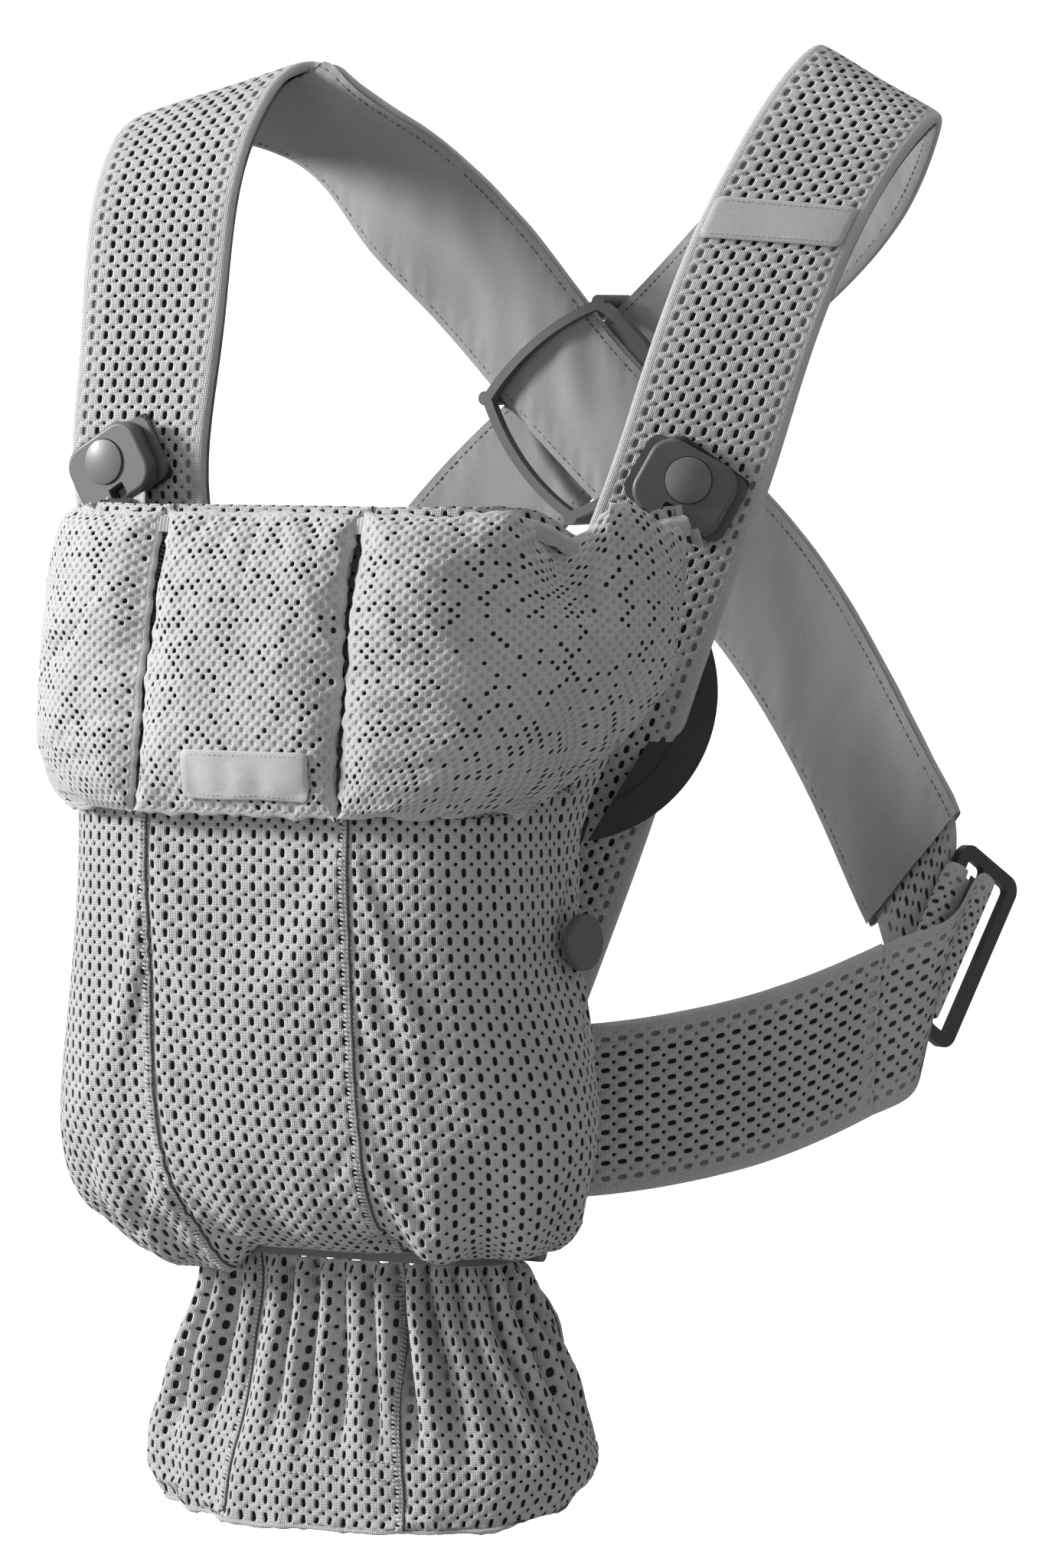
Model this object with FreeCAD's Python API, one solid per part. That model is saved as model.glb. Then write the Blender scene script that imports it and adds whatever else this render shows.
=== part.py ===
"""Soft baby carrier: shoulder straps crossed at the back, waist belt, padded front panel.

Millimetres. +Z is up, -Y is the front, where the child sits, and +X is the right side seen from
the front. The origin is midway between the two crowns where the straps rest on the shoulders.
"""
import FreeCAD, Part
import os

V = FreeCAD.Vector

# Webbing and belt
STRAP_WIDTH = 68.0
BELT_HEIGHT = 74.0
MESH_THICK = 2.2
FOAM_THICK = 2.2
LINING_THICK = 0.8
LAYER_GAP = 0.1
STATION_SPACING = 25.0

# Front panel and head support
PANEL_THICK = 3.5
PANEL_LINING_THICK = 0.8
PAD_COVER_THICK = 1.2
PAD_FOAM_THICK = 4.4
WING_GAP = 2.0

# Plastic hardware
BUTTON_R = 9.7
STUD_CAP_R = 11.8
SLIDER_LENGTH = 84.0
SLIDER_DEPTH = 40.0
SLIDER_THICK = 4.0
SLIDER_BAR = 6.0
RING_Z = -490.5
RING_BAR = 5.0
CROSS_WIDTH = 60.0

# Where each strap runs: centre of the strap and the direction of its width, neck edge last.
# From the belt front, up the chest, over the shoulder, down the back and across to the far hip.
RIGHT_STRAP = [
    ((37, -78, -389), (-.90, -.38, .20)),
    ((77, -85, -300), (-.88, -.42, .22)),
    ((112, -90, -216), (-.88, -.42, .15)),
    ((131, -86, -166), (-.90, -.40, .08)),
    ((146, -74, -107), (-.92, -.38, .05)),
    ((155, -56, -66), (-.91, -.40, .08)),
    ((164, -36, -33), (-.91, -.38, .14)),
    ((170, -12, -9), (-.92, -.22, .32)),
    ((166, 16, -1), (-.86, -.05, .50)),
    ((143, 40, -28), (-.75, -.10, .66)),
    ((92, 58, -72), (-.66, -.10, .75)),
    ((27, 73, -118), (-.68, .0, .73), CROSS_WIDTH),
    ((-30, 74, -160), (-.68, .0, .73), CROSS_WIDTH),
    ((-84, 73, -218), (-.78, -.12, .60)),
    ((-124, 66, -275), (-.86, -.18, .42)),
    ((-149, 60, -313), (-.78, -.15, .52)),
    ((-165, 55, -338), (-.62, -.02, .72)),
]
LEFT_STRAP = [
    ((-38, -79, -386), (.98, -.05, .15)),
    ((-80, -90, -300), (.98, -.05, .10)),
    ((-118, -95, -230), (.99, -.03, .05)),
    ((-139, -91, -176), (.99, .0, .0)),
    ((-140, -82, -110), (.98, .12, .0)),
    ((-146, -64, -60), (.97, .20, .02)),
    ((-152, -36, -20), (.94, .28, .12)),
    ((-150, 2, 1), (.84, .42, .34)),
    ((-124, 36, -10), (.80, -.40, .44)),
    ((-89, 52, -44), (.74, -.20, .64)),
    ((-52, 61, -82), (.73, -.15, .66)),
    ((-18, 66, -122), (.73, .0, .68), CROSS_WIDTH),
    ((24, 67, -162), (.73, .0, .68), CROSS_WIDTH),
    ((84, 71, -222), (.80, -.12, .58)),
    ((124, 66, -275), (.86, -.18, .42)),
    ((149, 60, -313), (.78, -.15, .52)),
    ((165, 55, -338), (.62, -.02, .72)),
]
# The waist belt's right half, from the front middle to the hip. The left half mirrors it.
BELT = [
    ((0, -80, -438), (0, 0, 1)),
    ((55, -73, -438), (0, 0, 1)),
    ((106, -42, -431), (0, 0, 1)),
    ((146, -9, -417), (0, .05, 1)),
    ((169, 11, -404), (0, .12, 1)),
]
SLIDER_CENTRE = V(182, 60, -371)
SLIDER_UP = V(.15, .52, .84).normalize()
SLIDER_NORMAL = V(.95, -.30, .01).normalize()
BELT_TURN = ((184, 33, -393), (-.02, .15, .98))

# Plan of the front panel's outside at each height: middle, seam, shoulder, corner, side and edge.
PANEL_PLAN = [
    (-181, (0, -204), (48, -204), (88, -196), (108, -172), (122, -144), (136, -108)),
    (-245, (0, -221), (49, -220), (92, -210), (111, -184), (125, -152), (134, -116)),
    (-300, (0, -228), (49, -227), (90, -215), (106, -189), (111, -158), (108, -132)),
    (-330, (0, -229), (49, -228), (90, -215), (106, -187), (108, -155), (102, -131)),
    (-370, (0, -228), (49, -226), (93, -213), (111, -184), (112, -152), (103, -131)),
    (-430, (0, -221), (49, -219), (98, -205), (124, -175), (122, -147), (108, -129)),
    (-462, (0, -210), (48, -208), (94, -194), (117, -168), (113, -145), (97, -130)),
]
SEAT_PLAN = [
    (-463.5, (0, -209), (48, -207), (94, -193), (116, -168), (112, -145), (96, -130)),
    (-477, (0, -196), (46, -194), (86, -181), (105, -160), (101, -141), (86, -127)),
    (-486, (0, -166), (41, -165), (68, -156), (82, -139), (76, -122), (60, -112)),
]
TAIL_PLAN = [
    (-495, (0, -163), (37, -162), (62, -153), (76, -137), (71, -120), (56, -110)),
    (-525, (0, -166), (38, -165), (69, -155), (89, -138), (88, -118), (76, -102)),
    (-560, (0, -170), (40, -168), (76, -158), (99, -138), (100, -115), (86, -98)),
    (-604, (0, -177), (44, -175), (81, -162), (105, -141), (105, -116), (89, -96)),
]
# Plan of the folded head support's outside, shorter on the wings towards its lower edge
PAD_PLAN = [
    (-177, (0, -216), (48, -216), (94, -206), (118, -179), (132, -150), (139, -133)),
    (-212, (0, -227), (48, -227), (96, -216), (122, -187), (136, -155), (143, -131)),
    (-246, (0, -234), (49, -233), (97, -221), (122, -192), (136, -160), (142, -135)),
    (-280, (0, -239), (50, -238), (95, -225), (117, -199), (127, -173), (131, -153)),
    (-305, (0, -241), (50, -240), (76, -233), (95, -222), (106, -209), (113, -196)),
]


def mirrored(shape):
    """The same shape on the other side of the carrier."""
    return shape.mirror(V(0, 0, 0), V(1, 0, 0))


def frames(stations, square=True):
    """Centre, width direction and outward normal at each station of a strap."""
    centres = [V(*station[0]) for station in stations]
    line = Part.BSplineCurve()
    line.interpolate(centres)
    found = []
    for centre, station in zip(centres, stations):
        along = line.tangent(line.parameter(centre))[0]
        across = V(*station[1])
        if square:
            across = across - along * across.dot(along)
        across.normalize()
        found.append((centre, across, along.cross(across).normalize()))
    return found


def evened(stations):
    """Stations along the same strap at an even spacing, so that a loft through them stays flat."""
    line = Part.BSplineCurve()
    line.interpolate([V(*station[0]) for station in stations])
    places = [line.parameter(V(*station[0])) for station in stations]
    count = round(line.length() / STATION_SPACING)
    found = []
    for k in range(count + 1):
        place = line.parameterAtDistance(line.length() * k / count, line.FirstParameter)
        after = next((i for i in range(1, len(places)) if places[i] >= place), len(places) - 1)
        share = (place - places[after - 1]) / (places[after] - places[after - 1])
        near, far = stations[after - 1], stations[after]
        across = V(*near[1]) * (1 - share) + V(*far[1]) * share
        widths = [station[2] if len(station) > 2 else STRAP_WIDTH for station in (near, far)]
        point = line.value(place)
        found.append((tuple(point), tuple(across), widths[0] * (1 - share) + widths[1] * share))
    return found


def band(stations, width, inner, outer, turn=1, square=True):
    """A layer of webbing between two heights above the strap's middle surface."""
    wires = []
    for (centre, across, normal), station in zip(frames(stations, square), stations):
        narrowed = STRAP_WIDTH - station[2] if len(station) > 2 else 0
        side = across * ((width - narrowed) / 2)
        low = normal * (turn * inner)
        high = normal * (turn * outer)
        corners = [centre - side + low, centre + side + low, centre + side + high, centre - side + high]
        wires.append(Part.makePolygon(corners + corners[:1]))
    return Part.makeLoft(wires, True, False)


def layers(stations, width, turn):
    """Outer mesh, foam and lining, stacked from the outside in."""
    foam_top = FOAM_THICK / 2
    mesh_low = foam_top + LAYER_GAP
    lining_top = -foam_top - LAYER_GAP
    return {
        "mesh": band(stations, width, mesh_low, mesh_low + MESH_THICK, turn),
        "foam": band(stations, width - 6, -foam_top, foam_top, turn),
        "lining": band(stations, width - 2, lining_top - LINING_THICK, lining_top, turn),
    }


def plan_points(level):
    """The whole plan curve of one level, from the left edge to the right edge, with normals."""
    z = level[0]
    half = level[1:]
    points = [V(-x, y, z) for x, y in reversed(half[1:])] + [V(x, y, z) for x, y in half]
    curve = Part.BSplineCurve()
    curve.interpolate(points)
    normals = []
    for point in points:
        along = curve.tangent(curve.parameter(point))[0]
        normals.append(V(along.y, -along.x, 0).normalize())
    return points, normals


def shell(plan, first, last, inner, outer):
    """A wall over part of the plan, between two offsets from it, lofted through the levels."""
    wires = []
    for level in plan:
        points, normals = plan_points(level)
        outside = [p + n * outer for p, n in zip(points, normals)][first:last + 1]
        inside = [p + n * inner for p, n in zip(points, normals)][first:last + 1]
        near = Part.BSplineCurve()
        near.interpolate(outside)
        far = Part.BSplineCurve()
        far.interpolate(inside[::-1])
        edges = [
            near.toShape(),
            Part.makeLine(outside[-1], inside[-1]),
            far.toShape(),
            Part.makeLine(inside[0], outside[0]),
        ]
        wires.append(Part.Wire(edges))
    return Part.makeLoft(wires, True, False)


def placed(shape, origin, across, normal):
    """Moves a shape drawn with +X across, +Y up and +Z outward onto a place on the carrier."""
    n = V(*normal).normalize()
    u = V(*across)
    u = (u - n * u.dot(n)).normalize()
    v = n.cross(u)
    matrix = FreeCAD.Matrix(
        u.x, v.x, n.x, origin[0],
        u.y, v.y, n.y, origin[1],
        u.z, v.z, n.z, origin[2],
        0, 0, 0, 1,
    )
    return shape.transformGeometry(matrix)


def rounded_plate(width, height, thick, radius, low=0.0):
    """A flat plate centred on the origin with round corners."""
    box = Part.makeBox(width, height, thick, V(-width / 2, -height / 2, low))
    upright = [e for e in box.Edges if abs(e.tangentAt(e.FirstParameter).z) > 0.9]
    return box.makeFillet(radius, upright)


def disc(radius, thick, low=0.0, at=(0, 0)):
    return Part.makeCylinder(radius, thick, V(at[0], at[1], low))


def soften(shape, radius, height):
    """Rounds the outer edges that lie at one height."""
    edges = [e for e in shape.Edges if all(abs(v.Point.z - height) < 1e-6 for v in e.Vertexes)]
    return shape.makeFillet(radius, edges)


def surface_point(stations, index, height):
    """A point above the strap at one station, with the width direction and outward normal."""
    centre, across, normal = frames(stations)[index]
    turn = 1 if normal.y < 0 else -1
    return centre + normal * (turn * height), across, normal * turn


nodes = {}

# Shoulder straps
for side, stations, turn in (("left", LEFT_STRAP, -1), ("right", RIGHT_STRAP, 1)):
    for layer, shape in layers(evened(stations), STRAP_WIDTH, turn).items():
        nodes[f"strap_{layer}_{side}"] = shape

# Waist belt: two halves that meet in the front middle
for layer, shape in layers(BELT, BELT_HEIGHT, 1).items():
    nodes[f"belt_{layer}_right"] = shape
    nodes[f"belt_{layer}_left"] = mirrored(shape)


# Hip sliders, with the strap's end tab round the front bar and the belt's end round the middle bar
BAR_OFFSET = (SLIDER_DEPTH - SLIDER_BAR) / 2
LOOP_INNER = 4.3
LOOP_OUTER = 6.0
slider_across = SLIDER_UP.cross(SLIDER_NORMAL)
front_bar = SLIDER_CENTRE - slider_across * BAR_OFFSET


def slider():
    """A three-bar frame with two slots for 68 mm webbing."""
    frame = rounded_plate(SLIDER_DEPTH, SLIDER_LENGTH, SLIDER_THICK, 7, -SLIDER_THICK / 2)
    slot_width = (SLIDER_DEPTH - 3 * SLIDER_BAR) / 2
    slot_length = SLIDER_LENGTH - 2 * SLIDER_BAR
    for centre in (-(slot_width + SLIDER_BAR) / 2, (slot_width + SLIDER_BAR) / 2):
        slot = rounded_plate(slot_width, slot_length, SLIDER_THICK * 2, 2.5, -SLIDER_THICK)
        frame = frame.cut(slot.translated(V(centre, 0, 0)))
    return frame


def bar_loop(bar, length):
    """Webbing turned round one bar of the slider."""
    start = bar - SLIDER_UP * (length / 2)
    outside = Part.makeCylinder(LOOP_OUTER, length, start, SLIDER_UP)
    return outside.cut(Part.makeCylinder(LOOP_INNER, length, start, SLIDER_UP))


loop_middle = (LOOP_INNER + LOOP_OUTER) / 2
tab_end = front_bar - SLIDER_NORMAL * (LOOP_OUTER + 1.0)
tab_stations = [
    ((165.8, 54.6, -339.5), (.62, -.02, .72)),
    ((170, 52, -350), (.42, .24, .80)),
    (tuple(tab_end), tuple(SLIDER_UP)),
]
tab = band(tab_stations, STRAP_WIDTH - 8, -0.8, 0.8, 1, False)
belt_cut = frames(BELT)[-1]
belt_stations = [
    (tuple(belt_cut[0] + V(1.2, 1.2, 0.8)), tuple(belt_cut[1])),
    BELT_TURN,
    (tuple(SLIDER_CENTRE + SLIDER_NORMAL * loop_middle), tuple(SLIDER_UP)),
]
belt_turn = band(belt_stations, STRAP_WIDTH, -0.8, 0.8, 1, False)
belt_turn = belt_turn.fuse(bar_loop(SLIDER_CENTRE, STRAP_WIDTH - 2))
hip = {
    "slider": placed(slider(), SLIDER_CENTRE, slider_across, SLIDER_NORMAL),
    "strap_tab": tab,
    "strap_loop": bar_loop(front_bar, STRAP_WIDTH - 4),
    "belt_end": belt_turn,
}
for name, shape in hip.items():
    nodes[f"{name}_right"] = shape
    nodes[f"{name}_left"] = mirrored(shape)

# Moulded crosspiece: one ring in front of the crossed straps and one behind, joined at four posts
CROSS_CENTRE = V(-1, 0, -140)
CROSS_CORNERS = [V(7, 0, 47), V(50, 0, -5), V(-7, 0, -47), V(-50, 0, 5)]
CROSS_FRONT_Y = 56.6
CROSS_REAR_Y = 78.6
CROSS_BAR = 5.0
CROSS_BULGE = 1.16
POST_R = 3.2


def cross_ring(y):
    """Four outward arcs between the corners, with a constant bar width."""
    outlines = []
    for scale in (1 + CROSS_BAR / 100, 1 - CROSS_BAR / 100):
        corners = [CROSS_CENTRE + c * scale + V(0, y, 0) for c in CROSS_CORNERS]
        edges = []
        for a, b in zip(corners, corners[1:] + corners[:1]):
            middle = (a + b) * 0.5
            away = middle - CROSS_CENTRE - V(0, y, 0)
            through = CROSS_CENTRE + V(0, y, 0) + away * CROSS_BULGE
            edges.append(Part.Arc(a, through, b).toShape())
        outlines.append(Part.Face(Part.Wire(edges)))
    return outlines[0].cut(outlines[1]).extrude(V(0, CROSS_BAR, 0))


crosspiece = cross_ring(CROSS_FRONT_Y).fuse(cross_ring(CROSS_REAR_Y))
for corner in CROSS_CORNERS:
    foot = CROSS_CENTRE + corner * 1.02 + V(0, CROSS_FRONT_Y, 0)
    depth = CROSS_REAR_Y + CROSS_BAR - CROSS_FRONT_Y
    crosspiece = crosspiece.fuse(Part.makeCylinder(POST_R, depth, foot, V(0, 1, 0)))
nodes["back_crosspiece"] = crosspiece.removeSplitter()

# Front panel: three mesh sections over one lining, the gathered seat below and the tail
SEAM_LEFT = 4
SEAM_RIGHT = 6
LAST = 10
nodes["panel_center"] = shell(PANEL_PLAN, SEAM_LEFT, SEAM_RIGHT, -PANEL_THICK, 0)
nodes["panel_side_right"] = shell(PANEL_PLAN, SEAM_RIGHT, LAST, -PANEL_THICK, 0)
nodes["panel_side_left"] = mirrored(nodes["panel_side_right"])
lining_outer = -PANEL_THICK - LAYER_GAP
nodes["panel_lining"] = shell(PANEL_PLAN, 0, LAST, lining_outer - PANEL_LINING_THICK, lining_outer)
nodes["seat_gather"] = shell(SEAT_PLAN, 0, LAST, -PANEL_THICK, 0)
nodes["tail"] = shell(TAIL_PLAN, 0, LAST, -PANEL_THICK, 0)

# Size ring round the neck of the panel, with a pull knob, and the webbing that hangs it
RING_HALF_WIDTH = 80.0
RING_FRONT_Y = -170.0
RING_REAR_Y = -103.0
ring_depth = RING_REAR_Y - RING_FRONT_Y
ring_middle_y = (RING_REAR_Y + RING_FRONT_Y) / 2
ring = rounded_plate(2 * RING_HALF_WIDTH, ring_depth, RING_BAR, 22, -RING_BAR / 2)
ring_hole = rounded_plate(
    2 * RING_HALF_WIDTH - 2 * RING_BAR, ring_depth - 2 * RING_BAR, 2 * RING_BAR, 17, -RING_BAR
)
ring = ring.cut(ring_hole).translated(V(0, ring_middle_y, RING_Z))
knob = Part.makeCylinder(4, 8, V(RING_HALF_WIDTH - 4, -128, RING_Z), V(1, 0, 0))
nodes["size_ring"] = ring.fuse(knob)
hanger_stations = [
    ((0, -79, -474.5), (1, 0, 0)),
    ((0, -90, -484), (1, 0, 0)),
    ((0, RING_REAR_Y - 2.2, RING_Z + RING_BAR / 2 + 0.9), (1, 0, 0)),
]
nodes["ring_hanger"] = band(hanger_stations, 50, -0.7, 0.7)

# Folded head support: a centre pad and two wings, each a foam core under a mesh cover
cover_inner = -PAD_COVER_THICK
foam_inner = cover_inner - LAYER_GAP - PAD_FOAM_THICK
for layer, inner, outer in (("cover", cover_inner, 0), ("foam", foam_inner, cover_inner - LAYER_GAP)):
    nodes[f"head_{layer}_center"] = shell(PAD_PLAN, SEAM_LEFT, SEAM_RIGHT, inner, outer)
    wing = shell(PAD_PLAN, SEAM_RIGHT, LAST, inner, outer).translated(V(WING_GAP, 0, 0))
    nodes[f"head_{layer}_wing_right"] = wing
    nodes[f"head_{layer}_wing_left"] = mirrored(wing)

# Strap buckles. Each is drawn flat: +X across, +Y up the strap, +Z away from the strap.
PATCH_THICK = 1.0
PLATE_THICK = 2.4
CLIP_HEIGHT = 7.2
CLIP_FLOOR = 1.2
CLIP_ROOF = 1.4
BUTTON_AT = (0, 3.5)
WINDOW_AT = V(0, -11.6, 0)
BUTTON_DOME = 1.6


def strap_plate():
    """The plate sewn to the strap, with the peg that the clip drops onto."""
    plate = rounded_plate(47, 30, PLATE_THICK, 6, 0)
    peg = rounded_plate(5.4, 3.4, 3.0, 0.8, PLATE_THICK)
    return plate.fuse(peg.translated(WINDOW_AT))


def clip_body():
    """The clip on the panel's corner: a low housing with a round well for the button."""
    body = soften(rounded_plate(40, 33, CLIP_HEIGHT, 10, 0), 2.0, CLIP_HEIGHT)
    well = disc(11.3, CLIP_HEIGHT - CLIP_FLOOR - CLIP_ROOF, CLIP_FLOOR, BUTTON_AT)
    mouth = disc(BUTTON_R + 0.4, CLIP_HEIGHT, CLIP_FLOOR, BUTTON_AT)
    window = rounded_plate(8.4, 6.2, 3 * CLIP_HEIGHT, 1.0, -CLIP_HEIGHT).translated(WINDOW_AT)
    return body.cut(well).cut(mouth).cut(window)


def clip_button():
    """A domed push button with a retaining flange and a hollow for the spring."""
    top = CLIP_HEIGHT + 0.9
    flange_top = CLIP_HEIGHT - CLIP_ROOF - 0.2
    stem = disc(BUTTON_R, top - flange_top + 1.2, flange_top - 1.2, BUTTON_AT)
    dome_r = (BUTTON_R ** 2 + BUTTON_DOME ** 2) / (2 * BUTTON_DOME)
    ball = Part.makeSphere(dome_r, V(BUTTON_AT[0], BUTTON_AT[1], top + BUTTON_DOME - dome_r))
    above = disc(BUTTON_R, BUTTON_DOME + 1, top, BUTTON_AT)
    flange = disc(10.8, 1.2, flange_top - 1.2, BUTTON_AT)
    hollow = disc(7.6, 3.0, flange_top - 1.2, BUTTON_AT)
    return stem.fuse(ball.common(above)).fuse(flange).cut(hollow)


def leaf_spring():
    """A bowed steel leaf under the button, drawn as it lies when pressed."""
    chord = 11.0
    rise = 2.2
    radius = (chord ** 2 / 4 + rise ** 2) / (2 * rise)
    axis_point = V(BUTTON_AT[0], BUTTON_AT[1] - 2.5, CLIP_FLOOR + 0.1 + rise - radius)
    outside = Part.makeCylinder(radius, 5, axis_point, V(0, 1, 0))
    leaf = outside.cut(Part.makeCylinder(radius - 0.4, 5, axis_point, V(0, 1, 0)))
    room = Part.makeBox(chord, 6, rise + 1, V(-chord / 2, BUTTON_AT[1] - 3, CLIP_FLOOR + 0.1))
    return leaf.common(room)


BUCKLES = {
    "left": (V(-146, -95.0, -165), (.87, -.04, .50), (-.06, -1, .02)),
    "right": (V(131.0, -89.6, -171), (.757, .437, -.485), (.41, -.91, .05)),
}
for side, (origin, sideways, normal) in BUCKLES.items():
    away = V(*normal).normalize()
    patch = rounded_plate(40, 32, PATCH_THICK, 2, 0).translated(V(0, 3, 0))
    nodes[f"buckle_patch_{side}"] = placed(patch, origin, sideways, normal)
    origin = origin + away * (PATCH_THICK + 0.05)
    nodes[f"buckle_plate_{side}"] = placed(strap_plate(), origin, sideways, normal)
    origin = origin + away * (PLATE_THICK + 0.35)
    nodes[f"clip_body_{side}"] = placed(clip_body(), origin, sideways, normal)
    nodes[f"clip_button_{side}"] = placed(clip_button(), origin, sideways, normal)
    nodes[f"clip_spring_{side}"] = placed(leaf_spring(), origin, sideways, normal)

# Panel corner tabs from the top corners of the front panel to the clips
EARS = {
    "left": [
        ((-134, -112, -186), (.9, -.3, 0)),
        ((-137, -109, -183), (.9, -.2, .15)),
        ((-140, -104.5, -180), (.87, -.04, .45)),
    ],
    "right": [
        ((134, -112, -186.5), (.9, .3, 0)),
        ((134, -107, -189), (.84, .37, -.3)),
        ((131.5, -101.5, -188.5), (.757, .437, -.485)),
    ],
}
for side, stations in EARS.items():
    nodes[f"panel_ear_{side}"] = band(stations, 26, -0.8, 0.8)

# Side guards: a dished crescent plate on each front strap, with its sewn tab
GUARD_CHORD = 98.0
GUARD_BULGE = 23.0
GUARD_THICK = 2.6


def crescent(chord, bulge, thick, low):
    """A flat D: a straight inner edge and a round outer one."""
    top = V(0, chord / 2, low)
    bottom = V(0, -chord / 2, low)
    arc = Part.Arc(top, V(bulge, 0, low), bottom).toShape()
    face = Part.Face(Part.Wire([arc, Part.makeLine(bottom, top)]))
    return face.extrude(V(0, 0, thick))


guard = crescent(GUARD_CHORD, GUARD_BULGE, GUARD_THICK, 0)
dish = crescent(GUARD_CHORD * 0.62, GUARD_BULGE * 0.40, GUARD_THICK, GUARD_THICK - 0.9)
guard = guard.cut(dish)
guard_tab = rounded_plate(11, 34, 1.2, 1, 0)
nodes["side_guard_right"] = placed(guard, (108, -80, -278), (.74, .42, -.526), (.45, -.89, .10))
nodes["side_guard_left"] = placed(
    crescent(GUARD_CHORD, -GUARD_BULGE, GUARD_THICK, 0), (-108, -98, -278), (.97, 0, .25), (-.05, -1, 0)
)
nodes["guard_tab_right"] = placed(guard_tab, (72, -90.5, -326), (.85, .5, -.2), (.42, -.90, .05))
nodes["guard_tab_left"] = placed(guard_tab, (-72, -94.5, -326), (1, 0, .15), (-.08, -1, .02))

# Leg-width studs on the panel's side edges
STUD_AT = (113.5, -153, -357)
STUD_NORMAL = (.99, -.12, 0)
socket = disc(8, 2.4).cut(disc(4.4, 2.4))
stud = soften(disc(STUD_CAP_R, 3.6, 3.0), 1.2, 6.6).fuse(disc(4.0, 3.2, 0.2))
studs = {
    "leg_socket": placed(socket, STUD_AT, (0, 1, 0), STUD_NORMAL),
    "leg_button": placed(stud, STUD_AT, (0, 1, 0), STUD_NORMAL),
}
for name, shape in studs.items():
    nodes[f"{name}_right"] = shape
    nodes[f"{name}_left"] = mirrored(shape)

# Plain sewn labels
label = rounded_plate(58, 20, 0.8, 3, 0)
nodes["head_label"] = placed(label, (9, -240.0, -287), (1, 0, 0), (0, -.985, .12))
centre, across_strap, outward = surface_point(RIGHT_STRAP, 5, 3.6)
centre = centre + V(1, 2, 6)
nodes["strap_label"] = placed(label, tuple(centre), tuple(across_strap * -1), tuple(outward))

os.makedirs("parts", exist_ok=True)
for name, shape in nodes.items():
    shape.exportStep(f"parts/{name}.step")
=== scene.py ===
"""Soft baby carrier: mesh fabric, padding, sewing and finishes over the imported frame.

Shapes are worked out in millimetres in the carrier's own frame, and become metres in make_mesh().
"""
import math
import bpy
import numpy as np
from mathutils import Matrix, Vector


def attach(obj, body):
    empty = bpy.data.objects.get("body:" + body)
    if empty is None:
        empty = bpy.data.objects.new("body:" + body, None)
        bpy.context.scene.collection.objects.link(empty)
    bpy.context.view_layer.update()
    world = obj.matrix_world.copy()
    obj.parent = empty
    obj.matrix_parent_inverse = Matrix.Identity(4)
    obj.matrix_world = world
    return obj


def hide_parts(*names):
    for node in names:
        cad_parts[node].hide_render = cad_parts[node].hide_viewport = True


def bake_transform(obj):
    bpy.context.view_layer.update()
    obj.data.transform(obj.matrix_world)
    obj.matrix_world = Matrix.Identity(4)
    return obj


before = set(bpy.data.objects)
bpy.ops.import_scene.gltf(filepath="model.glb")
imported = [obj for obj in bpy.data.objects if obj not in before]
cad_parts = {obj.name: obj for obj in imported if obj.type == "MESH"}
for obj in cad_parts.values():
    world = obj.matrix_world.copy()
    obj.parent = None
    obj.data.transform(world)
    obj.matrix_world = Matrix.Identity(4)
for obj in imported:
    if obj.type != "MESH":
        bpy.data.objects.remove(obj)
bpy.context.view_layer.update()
MM = 0.001

# Driving sizes, the same as the part's
STRAP_WIDTH = 68.0
BELT_HEIGHT = 74.0
OUTER_FACE = 3.4
LINING_FACE = -2.0
PITCH_ACROSS = 6.9
PITCH_ALONG = 7.1
OVAL = (1.05, 1.9)
ROUND = 0.85
HEM = 4.0
LINING_WIDTH = 67.0

RIGHT_STRAP = [
    ((37, -78, -389), (-.90, -.38, .20)),
    ((77, -85, -300), (-.88, -.42, .22)),
    ((112, -90, -216), (-.88, -.42, .15)),
    ((131, -86, -166), (-.90, -.40, .08)),
    ((146, -74, -107), (-.92, -.38, .05)),
    ((155, -56, -66), (-.91, -.40, .08)),
    ((164, -36, -33), (-.91, -.38, .14)),
    ((170, -12, -9), (-.92, -.22, .32)),
    ((166, 16, -1), (-.86, -.05, .50)),
    ((143, 40, -28), (-.75, -.10, .66)),
    ((92, 58, -72), (-.66, -.10, .75)),
    ((27, 73, -118), (-.68, .0, .73), 60.0),
    ((-30, 74, -160), (-.68, .0, .73), 60.0),
    ((-84, 73, -218), (-.78, -.12, .60)),
    ((-124, 66, -275), (-.86, -.18, .42)),
    ((-149, 60, -313), (-.78, -.15, .52)),
    ((-165, 55, -338), (-.62, -.02, .72)),
]
LEFT_STRAP = [
    ((-38, -79, -386), (.98, -.05, .15)),
    ((-80, -90, -300), (.98, -.05, .10)),
    ((-118, -95, -230), (.99, -.03, .05)),
    ((-139, -91, -176), (.99, .0, .0)),
    ((-140, -82, -110), (.98, .12, .0)),
    ((-146, -64, -60), (.97, .20, .02)),
    ((-152, -36, -20), (.94, .28, .12)),
    ((-150, 2, 1), (.84, .42, .34)),
    ((-124, 36, -10), (.80, -.40, .44)),
    ((-89, 52, -44), (.74, -.20, .64)),
    ((-52, 61, -82), (.73, -.15, .66)),
    ((-18, 66, -122), (.73, .0, .68), 60.0),
    ((24, 67, -162), (.73, .0, .68), 60.0),
    ((84, 71, -222), (.80, -.12, .58)),
    ((124, 66, -275), (.86, -.18, .42)),
    ((149, 60, -313), (.78, -.15, .52)),
    ((165, 55, -338), (.62, -.02, .72)),
]
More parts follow.
